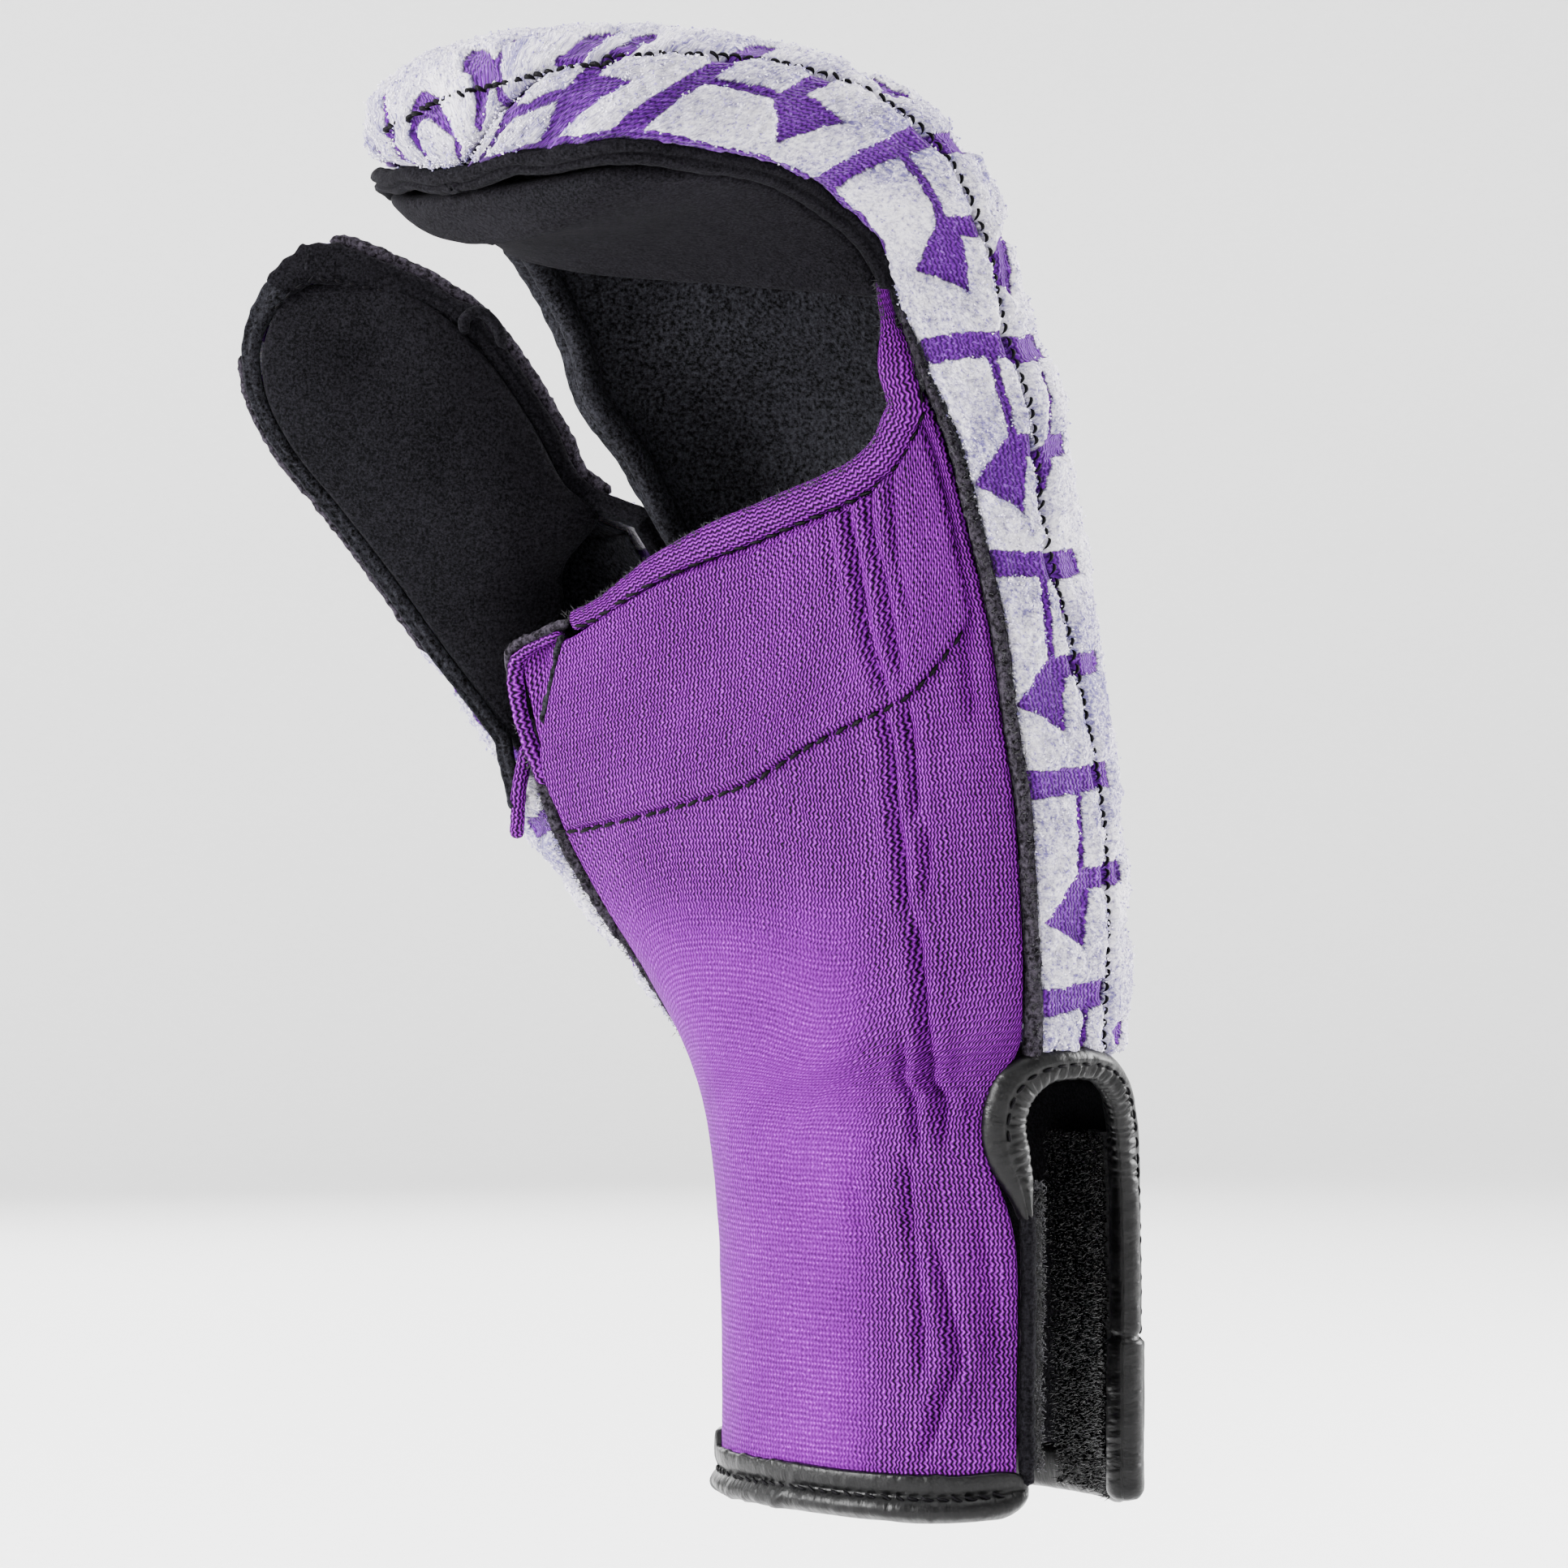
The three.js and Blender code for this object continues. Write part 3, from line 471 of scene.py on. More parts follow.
# Route on the tube: evenly spaced points with the surface's own outward direction
def tubeRoute(route, step, wide=0.0, sink=0.0):
    fine = rowsAt(route, np.linspace(0, len(route) - 1, 40 * len(route)))
    line = tubePoints(fine[:, 0], fine[:, 1], 0, wide)
    walk = walkAlong(line)
    count = max(int(walk[-1] / step), 2)
    even = np.linspace(0, walk[-1], count + 1)
    station, angle = np.interp(even, walk, fine[:, 0]), np.interp(even, walk, fine[:, 1])
    points = tubePoints(station, angle, 0, wide)
    normals = unit(tubePoints(station, angle, -1, wide) - tubePoints(station, angle, 1, wide))
    return points - normals * sink, normals, station, angle


# Route of stations and angles that follows a seam
def seamRoute(name, start, end, count=24):
    stations = np.linspace(start, end, count)
    return np.stack([stations, sectionAt(stations)[name]], 1)


def seamOf(name):
    return lambda station: sectionAt(station)[name]


ulnarSeam, backSeam = seamOf("ulnarSeam"), seamOf("backSeam")
handEdge, palmEdge = seamOf("handEdge"), seamOf("palmEdge")


# Millimetres that a panel's edge keeps from the middle of a seam or of a bead
def seamGap(station):
    return hand["seamWidth"] / 2 + np.where(station < 5, 2, 1) * hand["gap"]


def beadGap(station):
    return hand["beadWidth"] / 2 + np.where(station > 17, 4, 2) * hand["gap"]


def hexColour(text):
    parts = [int(text[k:k + 2], 16) / 255 for k in (1, 3, 5)]
    return [p / 12.92 if p <= 0.04045 else ((p + 0.055) / 1.055) ** 2.4 for p in parts] + [1.0]


# Adds a node: its settings by name, its inputs as numbers, hex colours or what is linked to them.
# A node given as an input stands for its first output in use. Inputs 6 and 7 of a Mix are its two colours.
def addNode(tree, kind, inputs=None, **settings):
    node = tree.nodes.new("ShaderNode" + kind)
    for key, value in settings.items():
        setattr(node, key, value)
    for key, value in (inputs or {}).items():
        if isinstance(value, bpy.types.Node):
            value = next(socket for socket in value.outputs if socket.enabled)
        if isinstance(value, bpy.types.NodeSocket):
            tree.links.new(value, node.inputs[key])
        else:
            node.inputs[key].default_value = hexColour(value) if isinstance(value, str) else value
    return node


def newFinish(name):
    finish = bpy.data.materials.new(name)
    finish.use_nodes = True
    finish.node_tree.nodes.clear()
    return finish, finish.node_tree


# Closes a material with its shader, whose bump stands up to deepMm high
def closeFinish(tree, skin, height=None, deepMm=1.0, strength=1.0):
    if height:
        relief = {"Height": height, "Distance": deepMm * metre, "Strength": strength}
        skin["Normal"] = addNode(tree, "Bump", relief)
    addNode(tree, "OutputMaterial", {"Surface": addNode(tree, "BsdfPrincipled", skin)})


# Height of a warp-knit face, 0 in the grooves and 1 on the ribs, from cloth millimetres
def knitHeight(tree, cloth, pitch, wave, swing):
    split = addNode(tree, "SeparateXYZ", {0: cloth})
    u, v = split.outputs[0], split.outputs[1]
    blur = addNode(tree, "TexNoise", {"Vector": cloth, "Scale": 0.4, "Detail": 2.0})
    waves = addNode(tree, "Math", {0: v, 1: wave}, operation="DIVIDE")
    zigzag = addNode(tree, "Math", {0: waves, 1: 0.5}, operation="PINGPONG")
    shifted = addNode(tree, "Math", {0: zigzag, 1: 2 * swing, 2: u}, operation="MULTIPLY_ADD")
    shifted = addNode(tree, "Math", {0: blur, 1: 1.3, 2: shifted}, operation="MULTIPLY_ADD")
    wales = addNode(tree, "Math", {0: shifted, 1: pitch}, operation="DIVIDE")
    wale = addNode(tree, "Math", {0: wales, 1: 0.5}, operation="PINGPONG")
    rib = addNode(tree, "Math", {0: wale, 1: 2.0}, operation="MULTIPLY")
    link = addNode(tree, "Math", {0: zigzag, 1: 0.5, 2: 0.75}, operation="MULTIPLY_ADD")
    linked = addNode(tree, "Math", {0: rib, 1: link}, operation="MULTIPLY")
    grain = addNode(tree, "TexNoise", {"Vector": cloth, "Scale": 2.6, "Detail": 2.0})
    rough = addNode(tree, "Math", {0: grain, 1: 1.1, 2: 0.42}, operation="MULTIPLY_ADD")
    return addNode(tree, "Math", {0: linked, 1: rough}, operation="MULTIPLY", use_clamp=True)


# Knitted nylon jersey glued to foam: zigzag ribs with grooves between. Their colour carries light and shade:
# the grooves take a painted shade and the highest ribs a painted glint.
# The ribs are drawn coarser than real, so that they show.
def makeJersey():
    look = {
        "rib": "#760094", "paintedGlint": "#ba14e2", "groove": "#08000d",
        "pitchMm": 0.72, "waveMm": 1.0, "swingMm": 0.3, "rowMm": 0.8,
    }
    finish, tree = newFinish("purple nylon jersey, knitted")
    cloth = addNode(tree, "Attribute", attribute_name="cloth").outputs["Vector"]
    stretch = addNode(tree, "Attribute", attribute_name="stretch").outputs["Fac"]
    relaxed = knitHeight(tree, cloth, look["pitchMm"], look["waveMm"], look["swingMm"])
    # Where the cloth is pulled tight its rows open out and the zigzag fades
    rows = addNode(tree, "Mapping", {"Vector": cloth, "Scale": (0.35, 1.0, 1.0)})
    wander = addNode(tree, "TexNoise", {"Vector": rows, "Scale": 0.9, "Detail": 2.0})
    along = addNode(tree, "SeparateXYZ", {0: cloth}).outputs[1]
    course = addNode(tree, "Math", {0: wander, 1: 0.7, 2: along}, operation="MULTIPLY_ADD")
    course = addNode(tree, "Math", {0: course, 1: look["rowMm"]}, operation="DIVIDE")
    course = addNode(tree, "Math", {0: course, 1: 0.5}, operation="PINGPONG")
    tight = addNode(tree, "Math", {0: course, 1: 0.8, 2: 0.4}, operation="MULTIPLY_ADD")
    grain = addNode(tree, "TexNoise", {"Vector": cloth, "Scale": 1.7, "Detail": 3.0})
    grainy = addNode(tree, "Math", {0: grain, 1: 1.2, 2: 0.4}, operation="MULTIPLY_ADD")
    tight = addNode(tree, "Math", {0: tight, 1: grainy}, operation="MULTIPLY", use_clamp=True)
    height = addNode(tree, "Mix", {0: stretch, 2: relaxed, 3: tight})
    patches = addNode(tree, "TexNoise", {"Vector": cloth, "Scale": 0.05, "Detail": 3.0})
    patchy = addNode(tree, "Math", {0: patches, 1: 0.3, 2: -0.4}, operation="MULTIPLY_ADD")
    shade = addNode(tree, "Math", {0: height, 1: 1.4, 2: patchy}, operation="MULTIPLY_ADD", use_clamp=True)
    # Colour runs from a painted shade in the grooves to the rib's purple, and the highest ribs take a painted
    # glint
    colour = addNode(tree, "Mix", {0: shade, 6: look["groove"], 7: look["rib"]}, data_type="RGBA")
    paintedGlintShare = addNode(tree, "MapRange", {"Value": shade, "From Min": 0.72, "To Max": 0.6})
    colour = addNode(tree, "Mix", {0: paintedGlintShare, 6: colour, 7: look["paintedGlint"]}, data_type="RGBA")
    skin = {"Base Color": colour, "Roughness": 0.62, "IOR": 1.53, "Specular IOR Level": 0.04}
    closeFinish(tree, skin, height, 0.3, 0.9)
    return finish


# Jacquard fleece: sheared white pile stands in blocks, the purple ground knit shows in the channels
def makeFleece():
    look = {
        "tip": "#fbf6ff", "root": "#6d639c", "ground": "#640893", "groundGrooveShade": "#18022c", "fleck": "#9a52d6",
        "pitchMm": 0.7, "waveMm": 0.9, "swingMm": 0.25,
    }
    finish, tree = newFinish("white jacquard fleece, sheared pile")
    cloth = addNode(tree, "Attribute", attribute_name="cloth").outputs["Vector"]
    pile = addNode(tree, "Attribute", attribute_name="pile").outputs["Fac"]
    tuft = addNode(tree, "TexNoise", {"Vector": cloth, "Scale": 1.5, "Detail": 4.0, "Roughness": 0.75})
    lie = addNode(tree, "Mapping", {"Vector": cloth, "Scale": (1.0, 0.4, 1.0)})
    streak = addNode(tree, "TexNoise", {"Vector": lie, "Scale": 0.9, "Detail": 3.0, "Roughness": 0.6})
    streaky = addNode(tree, "Math", {0: streak, 1: 0.28}, operation="MULTIPLY")
    depth = addNode(tree, "Math", {0: tuft, 1: 0.72, 2: streaky}, operation="MULTIPLY_ADD")
    drift = addNode(tree, "TexNoise", {"Vector": cloth, "Scale": 0.06, "Detail": 2.0})
    lift = addNode(tree, "Math", {0: drift, 1: 0.4, 2: -0.215}, operation="MULTIPLY_ADD")
    lifted = addNode(tree, "Math", {0: depth, 1: lift}, operation="ADD")
    # The pile's colour runs from root to tip with the height of its tufts: partly the purple ground seen
    # between the tufts, partly painted shade in the hollows
    shade = addNode(tree, "MapRange", {"Value": lifted, "From Min": 0.37, "From Max": 0.57})
    white = addNode(tree, "Mix", {0: shade, 6: look["root"], 7: look["tip"]}, data_type="RGBA")
    knit = knitHeight(tree, cloth, look["pitchMm"], look["waveMm"], look["swingMm"])
    # The ground knit's grooves take a painted shade
    ground = addNode(tree, "Mix", {0: knit, 6: look["groundGrooveShade"], 7: look["ground"]}, data_type="RGBA")
    flecks = addNode(tree, "MapRange", {"Value": tuft, "From Min": 0.54, "From Max": 0.64, "To Max": 0.6})
    ground = addNode(tree, "Mix", {0: flecks, 6: ground, 7: look["fleck"]}, data_type="RGBA")
    ragged = addNode(tree, "Math", {0: tuft, 1: 0.9, 2: -0.45}, operation="MULTIPLY_ADD")
    edge = addNode(tree, "Math", {0: pile, 1: ragged}, operation="ADD")
    edge = addNode(tree, "MapRange", {"Value": edge, "From Min": 0.4, "From Max": 0.6})
    colour = addNode(tree, "Mix", {0: edge, 6: ground, 7: white}, data_type="RGBA")
    tufts = addNode(tree, "Math", {0: depth, 1: 1.4}, operation="MULTIPLY")
    tufts = addNode(tree, "Math", {0: edge, 1: tufts}, operation="MULTIPLY")
    height = addNode(tree, "Math", {0: knit, 1: 0.25, 2: tufts}, operation="MULTIPLY_ADD")
    skin = {"Base Color": colour, "Roughness": 0.95, "IOR": 1.5, "Specular IOR Level": 0.06}
    closeFinish(tree, {**skin, "Sheen Weight": 0.12, "Sheen Roughness": 0.5}, height)
    return finish


# Loose ends of the pile, grey at the root where no light gets in and white at the tip, in small curls
def makeFibre(name, root, tip):
    finish, tree = newFinish(name)
    reach = addNode(tree, "Attribute", attribute_name="reach").outputs["Fac"]
    place = addNode(tree, "TexCoord").outputs["Object"]
    curls = addNode(tree, "TexNoise", {"Vector": place, "Scale": 620.0, "Detail": 2.0})
    curl = {"Value": curls, "From Min": 0.4, "From Max": 0.58, "To Min": -0.25, "To Max": 0.75}
    lit = addNode(tree, "MapRange", curl)
    share = addNode(tree, "Math", {0: reach, 1: 0.6, 2: lit}, operation="MULTIPLY_ADD", use_clamp=True)
    colour = addNode(tree, "Mix", {0: share, 6: root, 7: tip}, data_type="RGBA")
    closeFinish(tree, {"Base Color": colour, "Roughness": 0.8, "IOR": 1.5})
    return finish


# Napped neoprene: brushed nylon over foam, a dull black whose nap shows as fine grey speckle
def makeNap(name, base, light, speckleMm):
    finish, tree = newFinish(name)
    place = addNode(tree, "TexCoord").outputs["Object"]
    nap = {"Vector": place, "Scale": 1 / (speckleMm * metre), "Detail": 4.0, "Roughness": 0.75}
    speckle = addNode(tree, "TexNoise", nap)
    brush = addNode(tree, "TexNoise", {"Vector": place, "Scale": 70.0, "Detail": 3.0})
    brushed = addNode(tree, "Math", {0: brush, 1: 0.1}, operation="MULTIPLY")
    mixed = addNode(tree, "Math", {0: speckle, 1: 0.9, 2: brushed}, operation="MULTIPLY_ADD")
    shade = addNode(tree, "MapRange", {"Value": mixed, "From Min": 0.4, "From Max": 0.64})
    colour = addNode(tree, "Mix", {0: shade, 6: base, 7: light}, data_type="RGBA")
    skin = {"Base Color": colour, "Roughness": 0.95, "IOR": 1.5, "Specular IOR Level": 0.05}
    sheen = {"Sheen Weight": 0.03, "Sheen Roughness": 0.35, "Sheen Tint": "#8d8b94"}
    closeFinish(tree, {**skin, **sheen}, speckle, 0.4, 0.8)
    return finish


# Soft polyurethane film over a knit tape: satin black, finely creased across where it is gathered
def makeEdging():
    finish, tree = newFinish("black polyurethane edging, folded")
    cloth = addNode(tree, "Attribute", attribute_name="cloth").outputs["Vector"]
    slanted = addNode(tree, "Mapping", {"Vector": cloth, "Scale": (0.3, 1.0, 1.0), "Rotation": (0, 0, 0.6)})
    creases = addNode(tree, "TexNoise", {"Vector": slanted, "Scale": 0.6, "Detail": 3.0, "Roughness": 0.5})
    grain = addNode(tree, "TexVoronoi", {"Vector": cloth, "Scale": 3.2}, feature="DISTANCE_TO_EDGE")
    height = addNode(tree, "Math", {0: grain, 1: 0.06, 2: creases}, operation="MULTIPLY_ADD")
    wear = {"Value": creases, "From Min": 0.35, "From Max": 0.7, "To Min": 0.3, "To Max": 0.44}
    worn = addNode(tree, "MapRange", wear)
    # The raised creases are a touch lighter than the hollows between them: painted shade in the hollows
    colour = addNode(tree, "Mix", {0: creases, 6: "#000000", 7: "#040405"}, data_type="RGBA")
    skin = {"Base Color": colour, "Roughness": worn, "IOR": 1.5, "Specular IOR Level": 0.18}
    closeFinish(tree, skin, height, 0.6, 0.6)
    return finish


# Spun polyester sewing thread: two plies show as fine slanting bands
def makeThread():
    finish, tree = newFinish("black polyester thread, twisted")
    cloth = addNode(tree, "Attribute", attribute_name="cloth").outputs["Vector"]
    plies = {"Vector": cloth, "Scale": 0.55, "Distortion": 1.0}
    twist = addNode(tree, "TexWave", plies, bands_direction="DIAGONAL").outputs[1]
    colour = addNode(tree, "Mix", {0: twist, 6: "#000000", 7: "#08060b"}, data_type="RGBA")
    closeFinish(tree, {"Base Color": colour, "Roughness": 0.6, "IOR": 1.53, "Specular IOR Level": 0.06})
    return finish


# Cut foam edge with its lining's fibres: charcoal and fuzzy, without any shine
def makeRawEdge():
    finish, tree = newFinish("raw neoprene edge, overlocked")
    place = addNode(tree, "TexCoord").outputs["Object"]
    fuzz = addNode(tree, "TexNoise", {"Vector": place, "Scale": 1300.0, "Detail": 4.0, "Roughness": 0.7})
    shade = addNode(tree, "MapRange", {"Value": fuzz, "From Min": 0.4, "From Max": 0.66})
    colour = addNode(tree, "Mix", {0: shade, 6: "#040305", 7: "#3c3740"}, data_type="RGBA")
    skin = {"Base Color": colour, "Roughness": 0.95, "IOR": 1.5, "Specular IOR Level": 0.08}
    closeFinish(tree, skin, fuzz, 0.5)
    return finish


# Nylon tape under the hooks and the loops: a dull black weave, which shows between them as fine grain
def makeTape():
    finish, tree = newFinish("black nylon hook tape, woven")
    place = addNode(tree, "TexCoord").outputs["Object"]
    fuzz = addNode(tree, "TexNoise", {"Vector": place, "Scale": 2200.0, "Detail": 2.0})
    colour = addNode(tree, "Mix", {0: fuzz, 6: "#010101", 7: "#0d0d0f"}, data_type="RGBA")
    skin = {"Base Color": colour, "Roughness": 0.6, "IOR": 1.53, "Specular IOR Level": 0.3}
    closeFinish(tree, skin, fuzz, 0.4)
    return finish


# Moulded nylon hooks, shiny enough to glint one by one
def makeHook():
    finish, tree = newFinish("black nylon hooks, moulded")
    grain = addNode(tree, "TexNoise", {"Scale": 900.0})
    colour = addNode(tree, "Mix", {0: grain, 6: "#020202", 7: "#101013"}, data_type="RGBA")
    closeFinish(tree, {"Base Color": colour, "Roughness": 0.16, "IOR": 1.53})
    return finish


jersey = makeJersey()
fleece = makeFleece()
suede = makeNap("black neoprene, napped", "#000001", "#1b1a1e", 0.42)
lining = makeNap("black lining knit, brushed", "#020202", "#2a2a2f", 0.6)
edging = makeEdging()
thread = makeThread()
rawEdge = makeRawEdge()
tape = makeTape()
hooks = makeHook()
pileFibre = makeFibre("white polyester pile, brushed", "#857bb2", "#f9f4ff")
darkFibre = makeFibre("charcoal nap fibre, loose", "#050506", "#28272c")
print("materials made")

# Upper edge of the palm and lower edge of the patch: share of the way from little finger to thumb, station
palmTop = [
    (0, 12.4), (0.1, 11.75), (0.2, 11.15), (0.3, 10.85), (0.4, 10.7), (0.5, 10.55),
    (0.6, 10.35), (0.7, 10.1), (0.8, 9.7), (0.85, 9.5), (0.92, 9.45), (1, 9.35),
]
patchShares = (0.08, 0.86)
patchBottom = [
    (0.08, 9.15), (0.15, 8.85), (0.25, 8.4), (0.35, 8.15), (0.45, 7.85), (0.55, 7.4), (0.7, 7.1), (0.86, 6.9),
]
# Thumb side of the patch, and the palm's edge round the wrist slit: station, angle
patchSide = [
    (6.9, 126.2), (7.1, 128.2), (7.4, 128.9), (7.7, 128.7), (8.1, 126.8), (8.5, 124.2), (9, 121.8),
    (9.4, 120.1), (10, 117.6), (10.6, 116),
]
slitLeg = [(2.45, 18.5), (2.7, 22.5), (3, 27.5), (3.35, 31), (3.65, 29.5), (3.9, 20.5), (4.15, 17)]

# Creases of the palm: width and depth in millimetres, then the route as station and angle
patchCreases = [
    (1.0, 0.5, [(10.6, 72.5), (10.05, 71), (9.4, 69)]),
    (1.1, 1.3, [(10.9, 69.5), (10, 66), (9.3, 64), (8.85, 62), (8.3, 58.5)]),
    (1.0, 1.0, [(11.1, 62.5), (10.35, 62), (9.7, 59), (9.1, 57.5), (8.5, 55.5)]),
    (1.0, 0.8, [(11.3, 56), (10.6, 56.5), (9.9, 55.5), (9.2, 53)]),
]
palmCreases = [
    (1.1, 1.3, [(8.3, 61), (7.7, 59), (7, 59.5), (6.55, 59), (6, 59), (5.75, 58)]),
    (1.1, 1.3, [(8.35, 55), (7.6, 54), (6.85, 55)]),
    (0.9, 0.8, [(6.95, 52), (6.45, 52.5), (5.95, 54)]),
    (1.1, 1.4, [(5.85, 57), (5.15, 55), (4.55, 53), (4, 49.5), (3.2, 48)]),
    (1.0, 1.0, [(4.4, 58.5), (3.7, 57), (3.3, 56), (3, 54.5)]),
    (1.1, 1.0, [(3.2, 59), (2.7, 57.5), (2.25, 55.5), (1.8, 54.5), (1.2, 53.5)]),
    (1.1, 1.2, [(2.45, 50), (1.9, 47), (1.6, 44), (1.4, 43), (1.1, 47.5), (0.85, 50), (0.55, 54)]),
    (1.4, 0.4, [(3, 76), (2.7, 73.5), (2.2, 70)]),
    (1.3, 0.6, [(2.6, 34), (2.2, 33.5), (1.8, 32), (1.35, 29.5)]),
    (1.2, 0.7, [(11.9, 48.5), (10.9, 44), (9.9, 40.5), (8.9, 38), (7.9, 36.5)]),
]


# Folds where the cloth bunches up: a sharp valley with a soft swelling on either side
def creaseRelief(place, creases):
    height = np.zeros_like(place["station"])
    for width, depth, route in creases:
        stations, angles = np.array(route[::-1], float).T
        fine = np.linspace(stations[0], stations[-1], 60)
        line = np.interp(place["station"], fine, trackAt(np.stack([stations, angles], 1), fine))
        aside = (place["angle"] - line) * place["around"]
        fade = ramp(place["station"], stations[0] - 0.15, stations[0] + 0.35)
        fade = fade * (1 - ramp(place["station"], stations[-1] - 0.35, stations[-1] + 0.15))
        valley = np.exp(-np.sqrt((1.35 * aside / width) ** 2 + 0.04) + 0.2)
        swell = np.exp(-((np.abs(aside) - 2.1 * width) / (1.3 * width)) ** 2)
        height += fade * depth * (0.5 * swell - 1.15 * valley)
    return height


# Stations that the rolled edge takes up below the palm's upper edge
def rollDrop(share):
    return 0.27 + 0.5 * np.maximum(0, 1 - share / 0.22) - 0.13 * ramp(share, 0.55, 0.8)


# Palm's front edge: the little-finger seam, cut back round the wrist slit
def palmFront(station):
    inLeg = (station > slitLeg[0][0]) & (station < slitLeg[-1][0])
    return np.where(inLeg, trackAt(slitLeg, station), ulnarSeam(station))


def addPalm():
    def relief(place):
        sides, ends = edgeDistance(place["across"], place["along"])
        height = roundedEdge(sides, 1.6, 1.3) + roundedEdge(ends, 1.2, 0.9)
        height += creaseRelief(place, palmCreases)
        # Recess between the patch and the folded corner
        fromRecess = np.hypot((place["station"] - 8.95) / 0.5, (place["angle"] - 127.5) / 3.6)
        height -= 1.9 * np.exp(-fromRecess ** 2)
        height += 0.16 * softNoise(place["points"], 16.0, 3.0) + 0.05 * softNoise(place["points"], 3.0, 5.0)
        pulled = 0.7 * ramp(place["angle"], 60, 84) * (1 - ramp(place["station"], 4.8, 6.6))
        return height, {"stretch": pulled}
    spec = {
        "wide": 1.0, "from": palmFront, "to": palmEdge, "fromGap": seamGap,
        "toGap": lambda station: np.where(station > hand["rootSeamEnd"], beadGap(station), seamGap(station)),
        "low": always(0.7 * hemTop),
        "high": lambda share: trackAt(palmTop, share) - 0.8 * rollDrop(share),
        "across": 186, "along": 310, "wall": hand["knitWall"], "soften": 120,
    }
    palm = addPanel("palm", spec, jersey, "purple_knit", ["palm_panel"], relief)


def patchAngle(station, share):
    return mix(ulnarSeam(station), trackAt(patchSide, station), share / patchShares[1])


# Patch of a second layer of jersey, stitched along its lower edge
def addPatch():
    def relief(place):
        height = turnedEdge(place, 1.3, 1.0)
        height += creaseRelief(place, patchCreases) + 0.15 * softNoise(place["points"], 14.0, 3.0)
        return height, {"stretch": 0 * height}
    def shareOf(share):
        return mix(*patchShares, share)
    spec = {
        "wide": 1.0, "fromGap": always(0.3), "toGap": always(0.3),
        "from": lambda station: patchAngle(station, patchShares[0]),
        "to": lambda station: patchAngle(station, patchShares[1]),
        "low": lambda share: trackAt(patchBottom, shareOf(share)),
        "high": lambda share: trackAt(palmTop, shareOf(share)) - 0.9 * rollDrop(shareOf(share)),
        "across": 160, "along": 96, "depth": -1.1, "wall": 1.1,
    }
    patch = addPanel("palmPatch", spec, jersey, "purple_knit", ["palm_patch"], relief)


addPalm()
addPatch()
print("palm made")

# Open edge of the pocket: share of the way from little finger to thumb, station
pocketEdge = [(0, 13.15), (0.2, 13.55), (0.4, 14), (0.6, 14.5), (0.8, 14.85), (1, 15)]


# Signed distance in millimetres to a stroke whose width changes from one end to the other
def strokeDistance(u, v, stroke):
    u0, v0, u1, v1, w0, w1 = stroke
    du, dv = u1 - u0, v1 - v0
    length = math.hypot(du, dv)
    along = ((u - u0) * du + (v - v0) * dv) / length
    aside = np.abs((u - u0) * dv - (v - v0) * du) / length
    inside = aside - mix(w0, w1, np.clip(along / length, 0, 1)) / 2
    return np.maximum(inside, np.maximum(-along, along - length))


# Repeat of the jacquard: bars, feet and thin lines of bare ground knit, in millimetres of cloth.
# Each stroke is where it starts across and along, where it ends, and its width at either end.
fleecePattern = {
    "across": 27.0,
    "along": 33.0,
    "brick": 12.0,
    "strokes": [
        (-12.0, 8.0, 9.5, 10.6, 3.5, 3.7),
        (-1.6, 19.4, 2.4, 27.6, 7.4, 2.8),
        (1.4, 27.4, 12.6, 28.6, 2.9, 3.1),
        (1.7, 28.5, 2.6, 40.6, 1.0, 0.9),
        (-13.2, 22.6, -8.6, 26.4, 5.6, 1.2),
    ],
}


# Signed distance in millimetres to the nearest stroke, looked for in the repeats on every side
def channelDistance(u, v):
    column = np.floor(u / fleecePattern["across"] + 0.5)
    best = np.full(np.shape(u), 99.0)
    for side in (-1, 0, 1):
        inColumn = u - (column + side) * fleecePattern["across"]
        shifted = v - (column + side) * fleecePattern["brick"]
        row = np.floor(shifted / fleecePattern["along"])
        for step in (-1, 0, 1):
            inRow = shifted - (row + step) * fleecePattern["along"]
            for stroke in fleecePattern["strokes"]:
                best = np.minimum(best, strokeDistance(inColumn, inRow, stroke))
    return best


# Blocks of pile with soft tufts, sunk to the ground knit in the channels
def pileRelief(points, u, v, sides, ends):
    away = channelDistance(u, v) + 0.35 * softNoise(points, 1.8, 7.0)
    block = ramp(away, -0.3, 0.8)
    puff = 0.6 * (1 - np.exp(-np.maximum(away, 0) / 2.0))
    tufts = 0.62 * softNoise(points, 2.0, 9.0) + 0.34 * softNoise(points, 1.0, 4.0)
    cut = 1.1 * mix(0.3, 1, ramp(sides, 1, 4))
    height = cut * (block - 1) + block * (puff + tufts) + (1 - block) * 0.25 * tufts
    height += roundedEdge(sides, 2.4, 1.7) + roundedEdge(ends, 1.6, 1.0)
    return height, {"pile": block}


# Single fibres are too fine to show, so each is drawn as thick as a small tuft
pileLook = {"length": 0.45, "thick": 0.45, "lean": 0.7, "scatter": 0.12}


